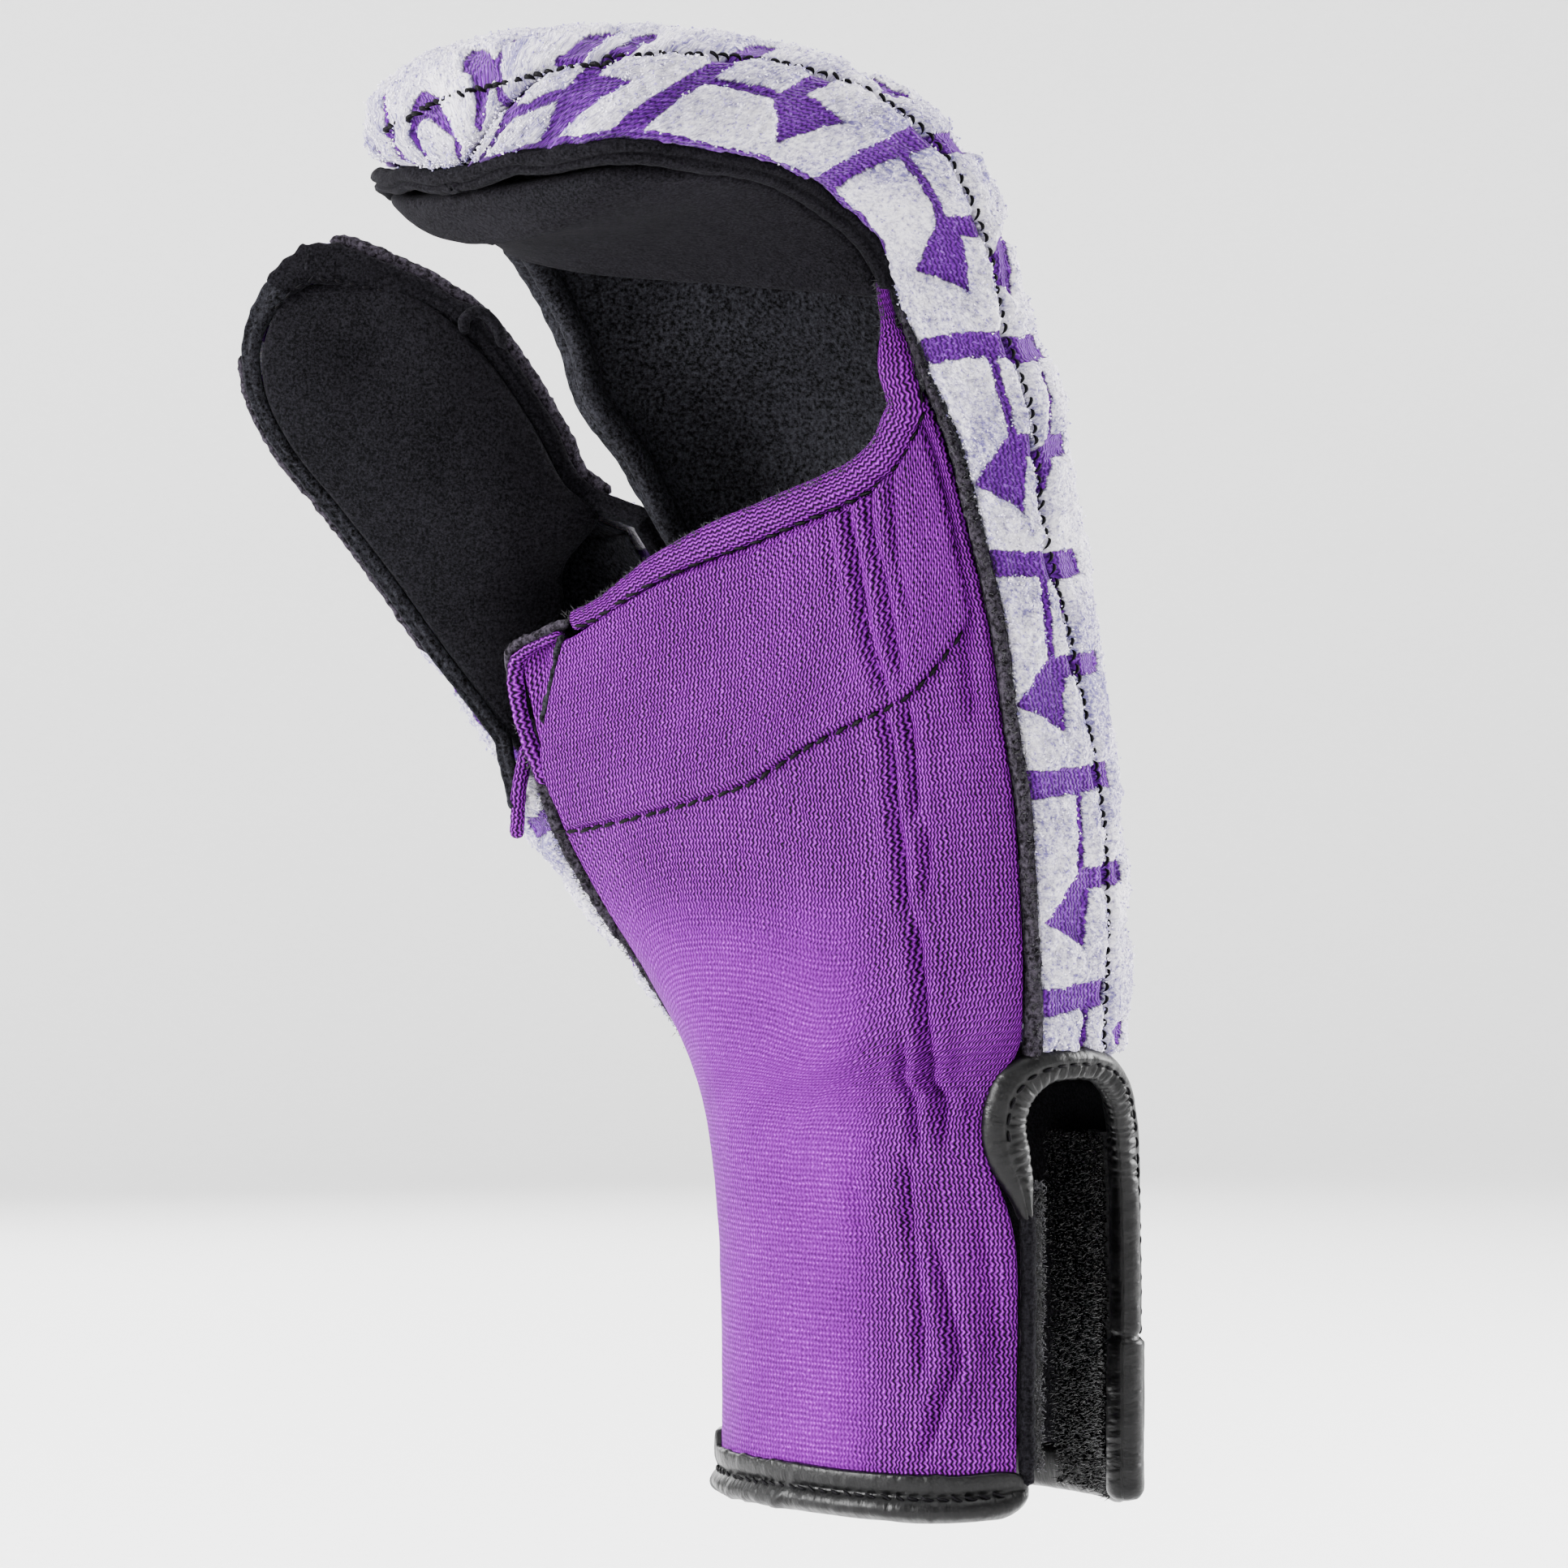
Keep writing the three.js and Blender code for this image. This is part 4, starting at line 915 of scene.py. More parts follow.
def addHandPanels():
    backMiddle = 48.5  # millimetres of the pattern from the side panel's middle to the back's
    edgeGap = [(4, 0.9), (11.6, 0.9), (12.5, 0.1), (13.7, 0.0), (14.5, 1.3), (tipStation, 1.5)]
    lengthwise = {"low": always(hand["fleeceStart"]), "high": always(panelEnd), "wall": hand["fleeceWall"]}
    side = {
        **lengthwise, "from": backSeam, "to": ulnarSeam, "fromGap": always(0.35),
        "toGap": lambda station: trackAt(edgeGap, station),
        "across": 48, "along": 520, "fibres": {**pileLook, "count": 12500, "seed": 3},
    }
    back = {
        **lengthwise, "from": lambda station: handEdge(station) - 360, "to": backSeam,
        "fromGap": lambda station: mix(0.1, beadGap(station) + 0.4, ramp(station, 8.9, 9.8)),
        "toGap": always(0.35), "across": 124, "along": 380, "fibres": {**pileLook, "count": 28000, "seed": 4},
    }
    def sideRelief(place):
        sides, ends = edgeDistance(place["across"], place["along"])
        height, layers = pileRelief(place["points"], -place["across"], place["along"], sides, ends)
        # Pile is shorn beside the pocket's seam, where the purple selvage shows
        toUlnar = place["across"][-1:] - place["across"]
        shorn = ramp(1.9 + 0.5 * softNoise(place["points"], 3.0) - toUlnar, 0, 0.5)
        layers["pile"] = layers["pile"] * (1 - shorn * ramp(place["station"], 13.4, 14.2))
        return height, layers
    def backRelief(place):
        sides, ends = edgeDistance(place["across"], place["along"])
        return pileRelief(place["points"], backMiddle - place["across"], place["along"], sides, ends)
    addPanel("sidePanel", side, fleece, "patterned_fleece", ["side_panel"], sideRelief)
    addPanel("backPanel", back, fleece, "patterned_fleece", ["back_panel"], backRelief)


def suedeRelief(place):
    lumps = 0.2 * softNoise(place["points"], 12.0, 2.0) + 0.05 * softNoise(place["points"], 1.5, 2.0)
    return turnedEdge(place, 1.5, 1.2) + lumps, {}


def liningRelief(place):
    lumps = 0.5 * softNoise(place["points"], 26.0, 6.0) + 0.1 * softNoise(place["points"], 5.0, 2.0)
    return turnedEdge(place, 0.6, 0.4) + lumps, {}


def addPocket():
    spec = {
        "from": ulnarSeam, "to": handEdge, "fromGap": beadGap, "toGap": beadGap,
        "low": lambda share: trackAt(pocketEdge, share), "high": always(panelEnd),
        "across": 110, "along": 120, "wall": hand["suedeWall"],
    }
    addPanel("fingerPocket", spec, suede, "black_suede", ["finger_pocket"], suedeRelief)


def addHandLining():
    spec = {
        "from": lambda station: handEdge(station) - 360, "to": ulnarSeam,
        "fromGap": always(0.4), "toGap": always(hand["beadWidth"]),
        "low": always(hand["fleeceStart"] + 0.2), "high": always(hand["liningEnd"]),
        "across": 70, "along": 90, "depth": hand["fleeceWall"] + 1.05, "wall": hand["liningWall"],
    }
    piece = addPanel("handLining", spec, lining, "black_lining", ["hand_lining"], liningRelief)


def addPalmLining():
    spec = {
        "wide": 1.0, "from": palmFront, "to": palmEdge, "fromGap": always(3), "toGap": always(1.8),
        "low": always(0.3 * hemTop), "high": lambda share: trackAt(palmTop, share) - 1.6 * rollDrop(share),
        "across": 60, "along": 90, "depth": hand["knitWall"] + 0.6, "wall": hand["liningWall"],
    }
    piece = addPanel("palmLining", spec, lining, "black_lining", ["palm_lining"], liningRelief)


# Oval bead along a route on the tube
def addBead(name, finish, stands, route, width, height, sink, wide=0.0, step=0.7, sides=18,
            relief=None):
    points, normals, station = tubeRoute(route, step, wide, sink)[:3]
    if callable(width):
        width = width(station)
    addTube(name, finish, stands, points, normals, width, height, relief, sides)


# Loose fibres along the top of a raw seam
def addSeamFuzz(name, route, wide, count, seed):
    look = {"length": 0.9, "thick": 0.2, "lean": 0.9, "scatter": 0.45, "count": count, "seed": seed}
    addFibres(name, *tubeRoute(route, 0.4, wide, -0.1)[:2], darkFibre, "black_lining", look)


def fuzzyRelief(walk, a, rings):
    return 0.26 * softNoise(rings, 1.4, 4.0) + 0.16 * softNoise(rings, 0.7, 8.0)


# Relief of soft lumps, for a tube or a sweep
def lumpy(depth, size, seed=3.0):
    return lambda *place: depth * softNoise(place[-1], size, seed)


# Route of the palm's folded upper edge, from the pocket's seam to the loose corner
def rollRoute():
    route = [(13.45, ulnarSeam(13.45) + 2), (13.0, ulnarSeam(13) + 4), (12.3, ulnarSeam(12.3) + 7)]
    for share in np.linspace(0.1, 0.8, 14):
        station = float(trackAt(palmTop, share)) - 0.03
        route.append((station, mix(ulnarSeam(station), palmEdge(station), share)))
    return route + [(9.56, 119.3)]


# Folded corner beside the thumb: a ridge of knit with its black cut edge standing outside it
ridgeRoute = [
    (9.42, 120.8), (9.32, 126), (9.22, 130), (9.1, 132.2), (8.86, 132.8), (8.5, 132.2), (8.15, 131.2),
    (7.8, 130), (7.5, 129.6),
]
patchEdgeRoute = [(9.42, 120.2), (9.2, 121.2), (8.93, 122), (8.56, 124), (8.3, 125.6)]
cutRoute = [
    (9.56, 120.4), (9.43, 127.3), (9.31, 134), (9.24, 135.8), (9.08, 135.9), (8.82, 134.9), (8.5, 134.3),
    (8.19, 133.3), (7.9, 132),
]


def addRoll():
    points, normals, station, angle = tubeRoute(rollRoute(), 0.6, 1.0)
    section = closedCurve([
        (-2.5, 0.2), (-2.6, 0.9), (-1.9, 1.75), (-0.6, 2.1), (1.0, 1.9), (2.2, 1.1), (2.6, -0.3), (2.1, -2.2),
        (0.6, -2.9), (-1.0, -2.8), (-2.2, -2.0), (-2.6, -0.8),
    ], 26)
    def relief(walk, side, up, rings):
        return 0.14 * softNoise(rings, 5.0, 3.0) + 0.08 * np.sin(walk * 2 * np.pi / 3.1) * ramp(-side, -1, 2)
    slim = (mix(0.35, 1, ramp(station, 13.15, 12.2)) * mix(1, 0.6, ramp(angle, 88, 117)))[:, None]
    shaped = section[None] * slim[..., None] + np.array([0.0, -0.4]) * (1 - slim[..., None])
    addSweep("palmEdgeRoll", jersey, ["palm_edge_roll"], points, normals, shaped, relief)
    ahead = unit(np.gradient(points, axis=0))
    aside = np.cross(ahead, normals)
    if aside[len(aside) // 2, 2] < 0:
        aside = -aside
    upper = points + (aside * 1.9 + normals * 0.9) * slim
    look = {"length": 1.0, "thick": 0.18, "lean": 0.7, "scatter": 0.4, "count": 1500, "seed": 8}
    addFibres("rollFuzz", upper, unit(aside + 0.3 * normals), darkFibre, "black_lining", look)
    seam = points - aside * 2.55 * slim + normals * 1.15
    # Stitches of the roll and the patch are drawn a little coarser than real, so that they show
    look = {"pitch": 3.0, "length": 2.4, "thick": 0.6, "proud": 0.3, "sunk": 0.1, "slant": 0.5}
    addStitches("rollStitches", seam[8:], normals[8:], look)


def addCorner():
    for name, finish, slot, stands, route, width, height, sink, relief in (
        ("palmCorner", jersey, "purple_knit", ["palm_corner"], ridgeRoute, 1.5, 2.6, -0.2, lumpy(0.18, 2.5)),
        ("patchCutEdge", lining, "black_lining", [], patchEdgeRoute, 0.8, 1.3, -0.5, fuzzyRelief),
        ("palmCutEdge", rawEdge, "black_lining", [], cutRoute, 1.6, 1.5, 0.5, fuzzyRelief),
    ):
        addBead(name, finish, stands, route, width, height, sink, 1.0, step=0.4, relief=relief)


# Route of the slit's edging, up the palm's side, over the top and down the flap's edge: station, angle
slitRoute = [
    (2.5, 19.3), (2.8, 22), (3.1, 25.5), (3.4, 27), (3.72, 24), (3.93, 17), (4, 5), (3.93, -8), (3.7, -20),
    (3.4, -28), (3, -33), (2.5, -35), (1.6, -35), (0.9, -35), (0.08, -35),
]


def addSeamStitches():
    patchLine = []
    for share in np.linspace(0.1, 0.94, 18):
        station = float(trackAt(patchBottom, share)) - 0.03
        patchLine.append((station, patchAngle(station, share)))
    look = {"pitch": 3.1, "length": 2.6, "thick": 0.65, "proud": 0.35, "sunk": 0.05, "slant": -0.3}
    addStitches("patchStitches", *tubeRoute(patchLine, 0.4, 1.0)[:2], look)
    look = {"pitch": 1.9, "length": 1.5, "thick": 0.6, "proud": 0.7, "sunk": 0.9, "slant": 0.9, "stray": 0.5}
    addStitches("fleeceStitches", *tubeRoute(seamRoute("backSeam", 4.05, 17.7, 60), 0.4)[:2], look)
    hoodRoute = [
        (17.6, -31.5), (18, -38.1), (18.23, -44.4), (18.42, -55.6), (18.53, -72.2), (18.61, -90.3),
        (18.67, -118), (18.54, -148.5),
    ]
    look = {
        "pitch": 1.7, "length": 1.9, "thick": 0.85, "proud": 0.75, "sunk": 0.5, "slant": 0.7, "stray": 0.6,
    }
    addStitches("hoodThread", *tubeRoute(hoodRoute, 0.3)[:2], look)


# The little-finger seam is broad at the wrist and slimmer toward the hood
def ulnarWidth(station):
    return mix(2.3, 1.2, ramp(station, 9, 12.2)) + 0.7 * (1 - ramp(station, 4.6, 5))


def addEdges():
    addRoll()
    addCorner()
    edge = seamRoute("handEdge", 9.4, 14.9)
    addBead("handEdge", lining, ["hand_edge"], edge, 3.2, 4.1, 1.8, relief=lumpy(0.2, 2.0))
    innerFold = [(station, angle - 2.0) for station, angle in seamRoute("handEdge", 9.0, 15.2)]
    addBead("handEdgeFold", lining, [], innerFold, 5.0, 3.4, 3.6, sides=14)
    ulnarRoute, rootRoute = seamRoute("ulnarSeam", 4.03, 12.9, 40), seamRoute("palmEdge", 3.25, 8.4)
    thumbRoute = seamRoute("handEdge", 4.0, 9.3)
    flapRoute = [(0.12, 205), (1, 205), (2, 205), (2.6, 203), (3.2, 198)]
    finish, slot = rawEdge, "overlock_thread"
    for name, stands, route, width, height, sink, wide, fuzz in (
        ("ulnarSeam", ["ulnar_seam"], ulnarRoute, ulnarWidth, 3.0, 0.9, 0.0, ("ulnarFuzz", 2600, 12)),
        ("thumbRootSeam", ["thumb_root_seam"], rootRoute, 1.4, 2.6, 0.9, 1.0, ("rootFuzz", 1500, 13)),
        ("thumbHandSeam", [], thumbRoute, 1.6, 2.4, 2.4, 0.0, None),
        ("flapSeam", [], flapRoute, 2.2, 2.4, 0.9, 0.0, None),
    ):
        addBead(name, finish, stands, route, width, height, sink, wide, step=0.5, relief=fuzzyRelief)
        if fuzz:
            addSeamFuzz(fuzz[0], route, wide, *fuzz[1:])
    tip = [(tipStation - 0.004, 90)]
    pocketSeam = list(seamRoute("ulnarSeam", 13.2, panelEnd, 14)) + tip
    pocketSeam += list(seamRoute("handEdge", panelEnd, 15.15, 10))
    def lip(walk, a, rings):
        wave = 0.25 * softNoise(rings, 7.0, 2.0) + 0.15 * softNoise(rings, 2.0, 2.0)
        return wave - 0.75 * np.exp(-((np.cos(a) - 0.15) / 0.22) ** 2) * ramp(np.sin(a), 0, 0.5)
    stands = ["pocket_seam"]
    addBead("pocketSeam", suede, stands, pocketSeam, 3.8, 3.2, 0.7, sides=26, relief=lip)


# Edge of the flap at the back of the wrist: station, angle
flapBack = [(0, -155), (1.9, -155), (2.5, -156.5), (3.1, -163), (3.35, -163.5), (3.7, -158)]


def addFlap():
    def relief(place):
        return turnedEdge(place, 1.4, 1.0) + 0.5 * softNoise(place["points"], 22.0, 1.0), {}
    spec = {
        "from": lambda station: trackAt(flapBack, station), "to": always(hand["flapEdge"]),
        "fromGap": always(0.3), "toGap": always(2.4), "low": always(hemTop), "high": always(hand["flapTop"]),
        "across": 90, "along": 60, "wall": hand["knitWall"],
    }
    addPanel("wristFlap", spec, suede, "black_lining", ["wrist_flap"], relief)
    outline = [
        (0.75, -145), (0.75, -100), (0.75, -48), (0.85, -44.5), (2, -44.5), (3.2, -44.5), (3.3, -48),
        (3.3, -100), (3.3, -145),
    ]
    look = {"pitch": 2.6, "length": 2.0, "thick": 0.5, "proud": 0.35, "sunk": -0.05, "slant": 0.1}
    addStitches("flapStitches", *tubeRoute(outline, 0.4)[:2], look)


# Edging round the wrist slit: smooth outside, gathered into fine folds where it turns in at the top
def addSlitBinding():
    look = {
        "width": 7.0, "topWidth": 5.0, "legWidth": 5.8, "height": 5.0, "tailMm": 12.0, "sink": 0.7,
        "foldMm": 1.5, "foldDepth": 0.75, "lapStation": 1.45, "step": 0.35, "sides": 36,
    }
    points, normals, station, angle = tubeRoute(slitRoute, look["step"], 0.0, look["sink"])
    tail = mix(0.3, 1, ramp(look["step"] * np.arange(len(points)), 0, look["tailMm"]))
    width = mix(look["topWidth"], look["width"], ramp(angle, 8, 22))
    width = mix(width, look["legWidth"], ramp(-angle, 20, 34)) * tail
    def relief(walk, a, rings):
        bend = (ramp(station, 2.6, 2.95) * mix(0.4, 1, tail))[:, None]
        # The folds are deepest on the face and fade where the tape turns into the opening
        inside = ramp(np.cos(a), -0.05, 0.35) * mix(1, 0.3, ramp(np.cos(a), 0.55, 0.95))
        wander = softNoise(points, 2.2, 3.0)[:, None]
        folds = np.abs(np.sin(walk * np.pi / look["foldMm"] + 2.2 * wander + 0.8 * np.cos(a)))
        groove = np.exp(-((np.cos(a) - 0.02) / 0.16) ** 2) * ramp(np.sin(a), -0.2, 0.3)
        height = bend * inside * look["foldDepth"] * (folds - 1.2) - 0.55 * groove
        straight = (1 - bend) * (angle < 0)[:, None]
        height -= 0.3 * straight * np.exp(-((np.cos(a) + 0.5) / 0.18) ** 2)
        height += 0.12 * softNoise(rings, 4.0, 3.0)
        lapped = ramp(look["lapStation"] - station, -0.02, 0.03) * (angle < 0)
        stepped = np.exp(-((station - look["lapStation"] - 0.03) / 0.03) ** 2)
        return height + (0.45 * lapped[:, None] - 0.5 * stepped[:, None])
    high = look["height"] * mix(0.55, 1, tail)
    rings = addTube("slitBinding", edging, ["slit_binding"], points, normals, width, high,
                    relief, look["sides"], 2.0, look["width"])
    aside = unit(rings[:, 0] - rings[:, look["sides"] // 2])
    seam = points + normals * (look["height"] / 2 - 0.3) + aside * 0.1
    thread = {"pitch": 2.6, "length": 1.7, "thick": 0.5, "proud": 0.15, "sunk": 0.1, "slant": 0.15}
    addStitches("slitStitches", seam[36:-12], normals[36:-12], thread)
    edgeRoute = [(2.62, 19.8), (2.2, 19.3), (1.6, 19.2), (1, 19.2), (0.36, 19.1)]
    addBead("slitEdge", suede, [], edgeRoute, 2.3, 2.6, 0.4, relief=lumpy(0.3, 2.2))


# Edging of the hem: a folded tape, puffed below its row of stitches and creased where it eases round
def addHemBinding():
    look = {"step": 0.45, "lapAt": 66.0, "sides": 36}
    route = [(hemTop / 2 + up, angle) for up, angle in (
        (0.14, 18.5), (0.1, 32), (0.07, 50), (0.07, 95), (0.04, 140), (0, 180), (0, 225), (0, 270),
        (0, 317.5),
    )]
    points, normals = tubeRoute(route, look["step"])[:2]
    section = closedCurve([
        (3.7, -0.4), (3.75, 0.7), (3.1, 1.05), (1.6, 0.95), (0.35, 0.45), (-0.5, 1.15), (-1.6, 1.75),
        (-2.7, 1.5), (-3.5, 0.4), (-3.7, -1.0), (-3.0, -2.4), (-1.4, -3.1), (1.0, -3.1), (2.9, -2.8),
        (3.6, -1.7),
    ], look["sides"])
    wander = softNoise(points, 13.0, 4.0)[:, None]
    def relief(walk, side, up, rings):
        slanted = np.stack([walk + 0.9 * side, 0.25 * side, 0 * walk], -1)
        creases = mix(0.2, 1, ramp(wander, -0.05, 0.3)) * np.abs(softNoise(slanted, 2.6, 2.0)) * 0.8
        past = walk - look["lapAt"]
        lap = 0.5 * ramp(past, 0, 0.5) * (1 - ramp(past, 30, 40))
        return lap + 0.12 * softNoise(rings, 6.0, 1.0) + (creases - 0.3) * ramp(up, -0.6, 0.6)
    # The tape stands 2 mm higher where its end laps over its start
    sections = np.broadcast_to(section, (len(points), *section.shape)).copy()
    past = look["step"] * np.arange(len(points))[:, None] - look["lapAt"]
    raised = 2.0 * ramp(past, -2, 0) * (1 - ramp(past, 12, 30))
    sections[..., 0] += raised * ramp(section[:, 0], 2.0, 3.5)[None]
    addSweep("cuffBinding", edging, ["cuff_binding"], points, normals, sections, relief, 6.0)
    aside = np.cross(unit(np.gradient(points, axis=0)), normals)
    seam = points + normals * 0.6 + aside * 0.05
    thread = {
        "pitch": 2.2, "length": 1.9, "thick": 0.5, "proud": 0.25, "sunk": 0.1, "slant": 0.75, "stray": 0.3,
    }
    addStitches("hemStitches", seam[8:-8], normals[8:-8], thread)


def addWristBinding():
    points, normals = tubeRoute([(3.86, -60), (3.86, -90), (3.86, -156)], 0.5)[:2]
    section = closedCurve([
        (2.4, -1.2), (2.3, 0.6), (0.6, 1.1), (-1.2, 1.2), (-2.3, 0.3), (-2.3, -1.6), (0, -2.6),
    ], 26)
    stands, relief = ["wrist_binding"], lumpy(0.15, 3.0, 1.0)
    addSweep("wristBinding", edging, stands, points, normals, section, relief)


# Hooks of the closing tape, on the flap's inner face, and the pile that they catch. They are drawn
# thicker than real, so that they show one by one.
def addHooks():
    station, angle = np.meshgrid(np.linspace(0.1, 3.15, 80), np.linspace(-80, -41, 80))
    inner = tubePoints(station, angle, np.where(station < 0.44, 3.0, 3.8))
    inward = unit(tubePoints(station, angle, 5) - tubePoints(station, angle, 3)).reshape(-1, 3)
    look = {"length": 1.5, "thick": 0.34, "lean": 0.35, "scatter": 0.25, "count": 8000, "seed": 9}
    addFibres("hookField", inner.reshape(-1, 3), inward, hooks, "hook_and_loop", look)
    atSeam = ulnarSeam(0)
    station, angle = np.meshgrid(np.linspace(0.5, 2.85, 90), np.linspace(atSeam - 5, atSeam + 0.5, 12))
    outer = tubePoints(station, angle, 0.4, 1.0)
    outward = unit(tubePoints(station, angle, -1, 1.0) - tubePoints(station, angle, 1, 1.0)).reshape(-1, 3)
    look = {"length": 0.8, "thick": 0.22, "lean": 0.9, "scatter": 0.2, "count": 2600, "seed": 10}
    addFibres("loopField", outer.reshape(-1, 3), outward, darkFibre, "hook_and_loop", look)


def addCuff():
    addFlap()
    addSlitBinding()
    addHemBinding()
    addWristBinding()
    addHooks()


# Rows of the thumb from its tip: left edge x, y, z, right edge x, y, z, depth of the back, turn of its arc
thumbRows = [
    (-96, 6, 194.5, -90.5, 6, 194.5, 4, 0),
    (-101, 6, 189.5, -84, 6, 192, 12, 0),
    (-104.5, 6, 183, -75.5, 6.5, 188, 18, 0),
    (-105.5, 6, 176.5, -68.5, 7, 183, 22, 0),
    (-104, 7.5, 169, -62.5, 8.5, 175.5, 25, 0),
    (-100, 9, 161.5, -57, 10.5, 166.5, 26, 2),
    (-93.5, 10.5, 153.5, -52.5, 12.5, 158, 27, 4),
    (-86, 12.5, 143.5, -47, 14, 153, 26, 7),
    (-78, 15, 132, -53, 18, 146, 24.5, 11),
    (-70.5, 17, 122, -53.5, 19.5, 139.5, 23, 15),
    (-65, 19, 114.5, -55, 21, 127.5, 21.5, 19),
    (-63, 20.5, 111.5, -58.5, 22, 113.5, 20, 20),
]
# Below the fork the thumb's back runs on to the wrist: palm station, hand station, depth, turn
thumbRootRows = [
    (7.5, 8.7, 19.5, 22), (6.8, 7.8, 17, 26), (6, 6.9, 13.5, 30), (5.2, 6, 10, 34), (4.4, 5.1, 6.5, 38),
    (3.75, 4.5, 3.5, 41), (3.15, 3.92, 1.2, 44),
]


def thumbBackRails():
    rows = [list(row) for row in thumbRows[:11]]
    rows[7][3:6] = tubePoints(10.35, handEdge(10.35))
    for k, station in enumerate((10.2, 9.65, 9.1)):
        rows[8 + k][3:6] = tubePoints(station, handEdge(station))
    for palmStation, handStation, depth, turn in thumbRootRows:
        palm = tubePoints(palmStation, palmEdge(palmStation), 0, 1) + [0, 0.4 if palmStation < 7 else 1.2, 0]
        rows.append([*palm, *tubePoints(handStation, handEdge(handStation)), depth, turn])
    return rows


# Grid of points on arcs from the left rail to the right rail of the thumb
def arcGrid(rows, spec):
    share = np.linspace(0, 1, spec["along"] + 1)
    place = mix(spec["first"], spec["last"], share)
    row = rowsAt(rows, place)
    left, right, depth, turn = row[:, 0:3], row[:, 3:6], row[:, 6], np.radians(row[:, 7])
    outward = np.stack([-np.sin(turn), np.cos(turn), 0 * turn], 1)
    handle = outward * (spec["bulge"](depth, share) * 4 / 3)[:, None]
    lie = spec.get("lie", 0)
    spread = np.array([-1.0, 0, 0]) * trackAt(spec.get("spread", [(0, 0), (20, 0)]), place)[:, None]
    corners = (left, mix(left, right, lie) + handle + spread, mix(right, left, lie) + handle, right)
    t = np.linspace(0, 1, 200)[:, None, None]
    weights = ((1 - t) ** 3, 3 * t * (1 - t) ** 2, 3 * t * t * (1 - t), t ** 3)
    curve = sum(w * c[None] for w, c in zip(weights, corners))
    walk = walkAlong(curve)
    grid = np.zeros((spec["across"] + 1, len(row), 3))
    for i in range(len(row)):
        trimLeft, trimRight = spec["trimLeft"](place[i]), spec["trimRight"](place[i])
        reach = np.linspace(trimLeft, walk[-1, i] - trimRight, spec["across"] + 1)
        grid[:, i] = pointsAt(reach, walk[:, i], curve[:, i])
    return grid


# Wall of the thumb between its two rails
def addArcPiece(name, rows, spec, finish, slot, stands, relief):
    flat = softened(arcGrid(rows, spec), spec.get("soften", 0))
    normals = gridNormals(flat) * spec["facing"]
    return addWall(name, flat, normals, {}, spec, finish, slot, stands, relief)


def addThumb():
    rails = thumbBackRails()
    def fleeceRelief(place):
        sides, ends = edgeDistance(place["across"], place["along"])
        return pileRelief(place["points"], place["across"] + 7, place["along"], sides, ends)
    def linedRelief(place):
        return liningRelief(place)[0] - 3.7, {}
    def faceRelief(place):
        height, layers = suedeRelief(place)
        # Soft hollow under the tip and one beside the right-hand seam
        away = np.hypot(place["points"][..., 0] + 84, (place["points"][..., 2] - 176) * 1.3)
        return height - 1.6 * np.exp(-(away / 7) ** 2) - 1.0 * np.exp(-place["along"] / 2.5), layers
    back = {
        "first": 0, "last": len(rails) - 1, "along": 210, "across": 90, "soften": 24,
        "bulge": lambda depth, share: depth, "wall": hand["fleeceWall"], "facing": 1,
        "spread": [
            (0, 0), (9.4, 0), (10.4, 5), (11, 11), (12, 10.5), (13, 6), (14, 3), (15, 1), (16, 0), (18, 0),
        ],
        "trimLeft": lambda row: mix(2.6, 1.0, ramp(row, 10.2, 11)),
        "trimRight": lambda row: mix(2.8, 0.2, ramp(row, 8, 9)),
        "fibres": {**pileLook, "count": 12500, "seed": 6},
    }
    piece = addArcPiece("thumbBack", rails, back, fleece, "patterned_fleece", ["thumb_back"], fleeceRelief)
    addThumbStrip(arcGrid(rails, back))
    inside = {
        **back, "first": 1.2, "along": 80, "across": 40, "soften": 6, "wall": 4.5,
        "trimLeft": lambda row: 5.0, "trimRight": lambda row: mix(5.0, 3.0, ramp(row, 8, 9)),
    }
    inside.pop("fibres")
    piece = addArcPiece("thumbLining", rails, inside, lining, "black_lining", ["thumb_lining"], linedRelief)
    front = {
        "first": 1.3, "last": len(thumbRows) - 1, "along": 150, "across": 80, "lie": 0.28,
        "bulge": lambda depth, share: -5 * np.sin(np.pi * np.minimum(share * 1.1, 1)),
        "trimLeft": lambda row: mix(3.9, 2.5, ramp(row, 1.8, 4)),
        "trimRight": lambda row: mix(4.6, 3.2, ramp(row, 2, 5)), "wall": hand["suedeWall"], "facing": -1,
    }
    piece = addArcPiece("thumbFront", thumbRows, front, suede, "black_suede", ["thumb_front"], faceRelief)
    addFlange(rails)


# Bare strip of the fleece's ground, turned over at the end of the thumb's seam; each point takes its
# depth from the back's surface at the height foundAt
def addThumbStrip(grid):
    points = []
    for x, z, foundAt in (
        (-61.2, 117, 109.5), (-61.9, 113.5, 109.5), (-62.6, 109.5, 109.5), (-63, 105.5, 105.5),
        (-63.3, 102, 102),
    ):
        near = np.hypot(grid[..., 0] + 62.8, grid[..., 2] - foundAt) < 2.2
        points.append((x, grid[..., 1][near].min() - 0.5, z))
    line = rowsAt(points, np.linspace(0, 4, 30))
    toViewer = np.broadcast_to([0.0, -1.0, 0.0], line.shape)
    relief = lumpy(0.15, 1.5)
    addTube("thumbStrip", jersey, [], line, toViewer, 2.3, 2.0, relief, 16, 1.5)


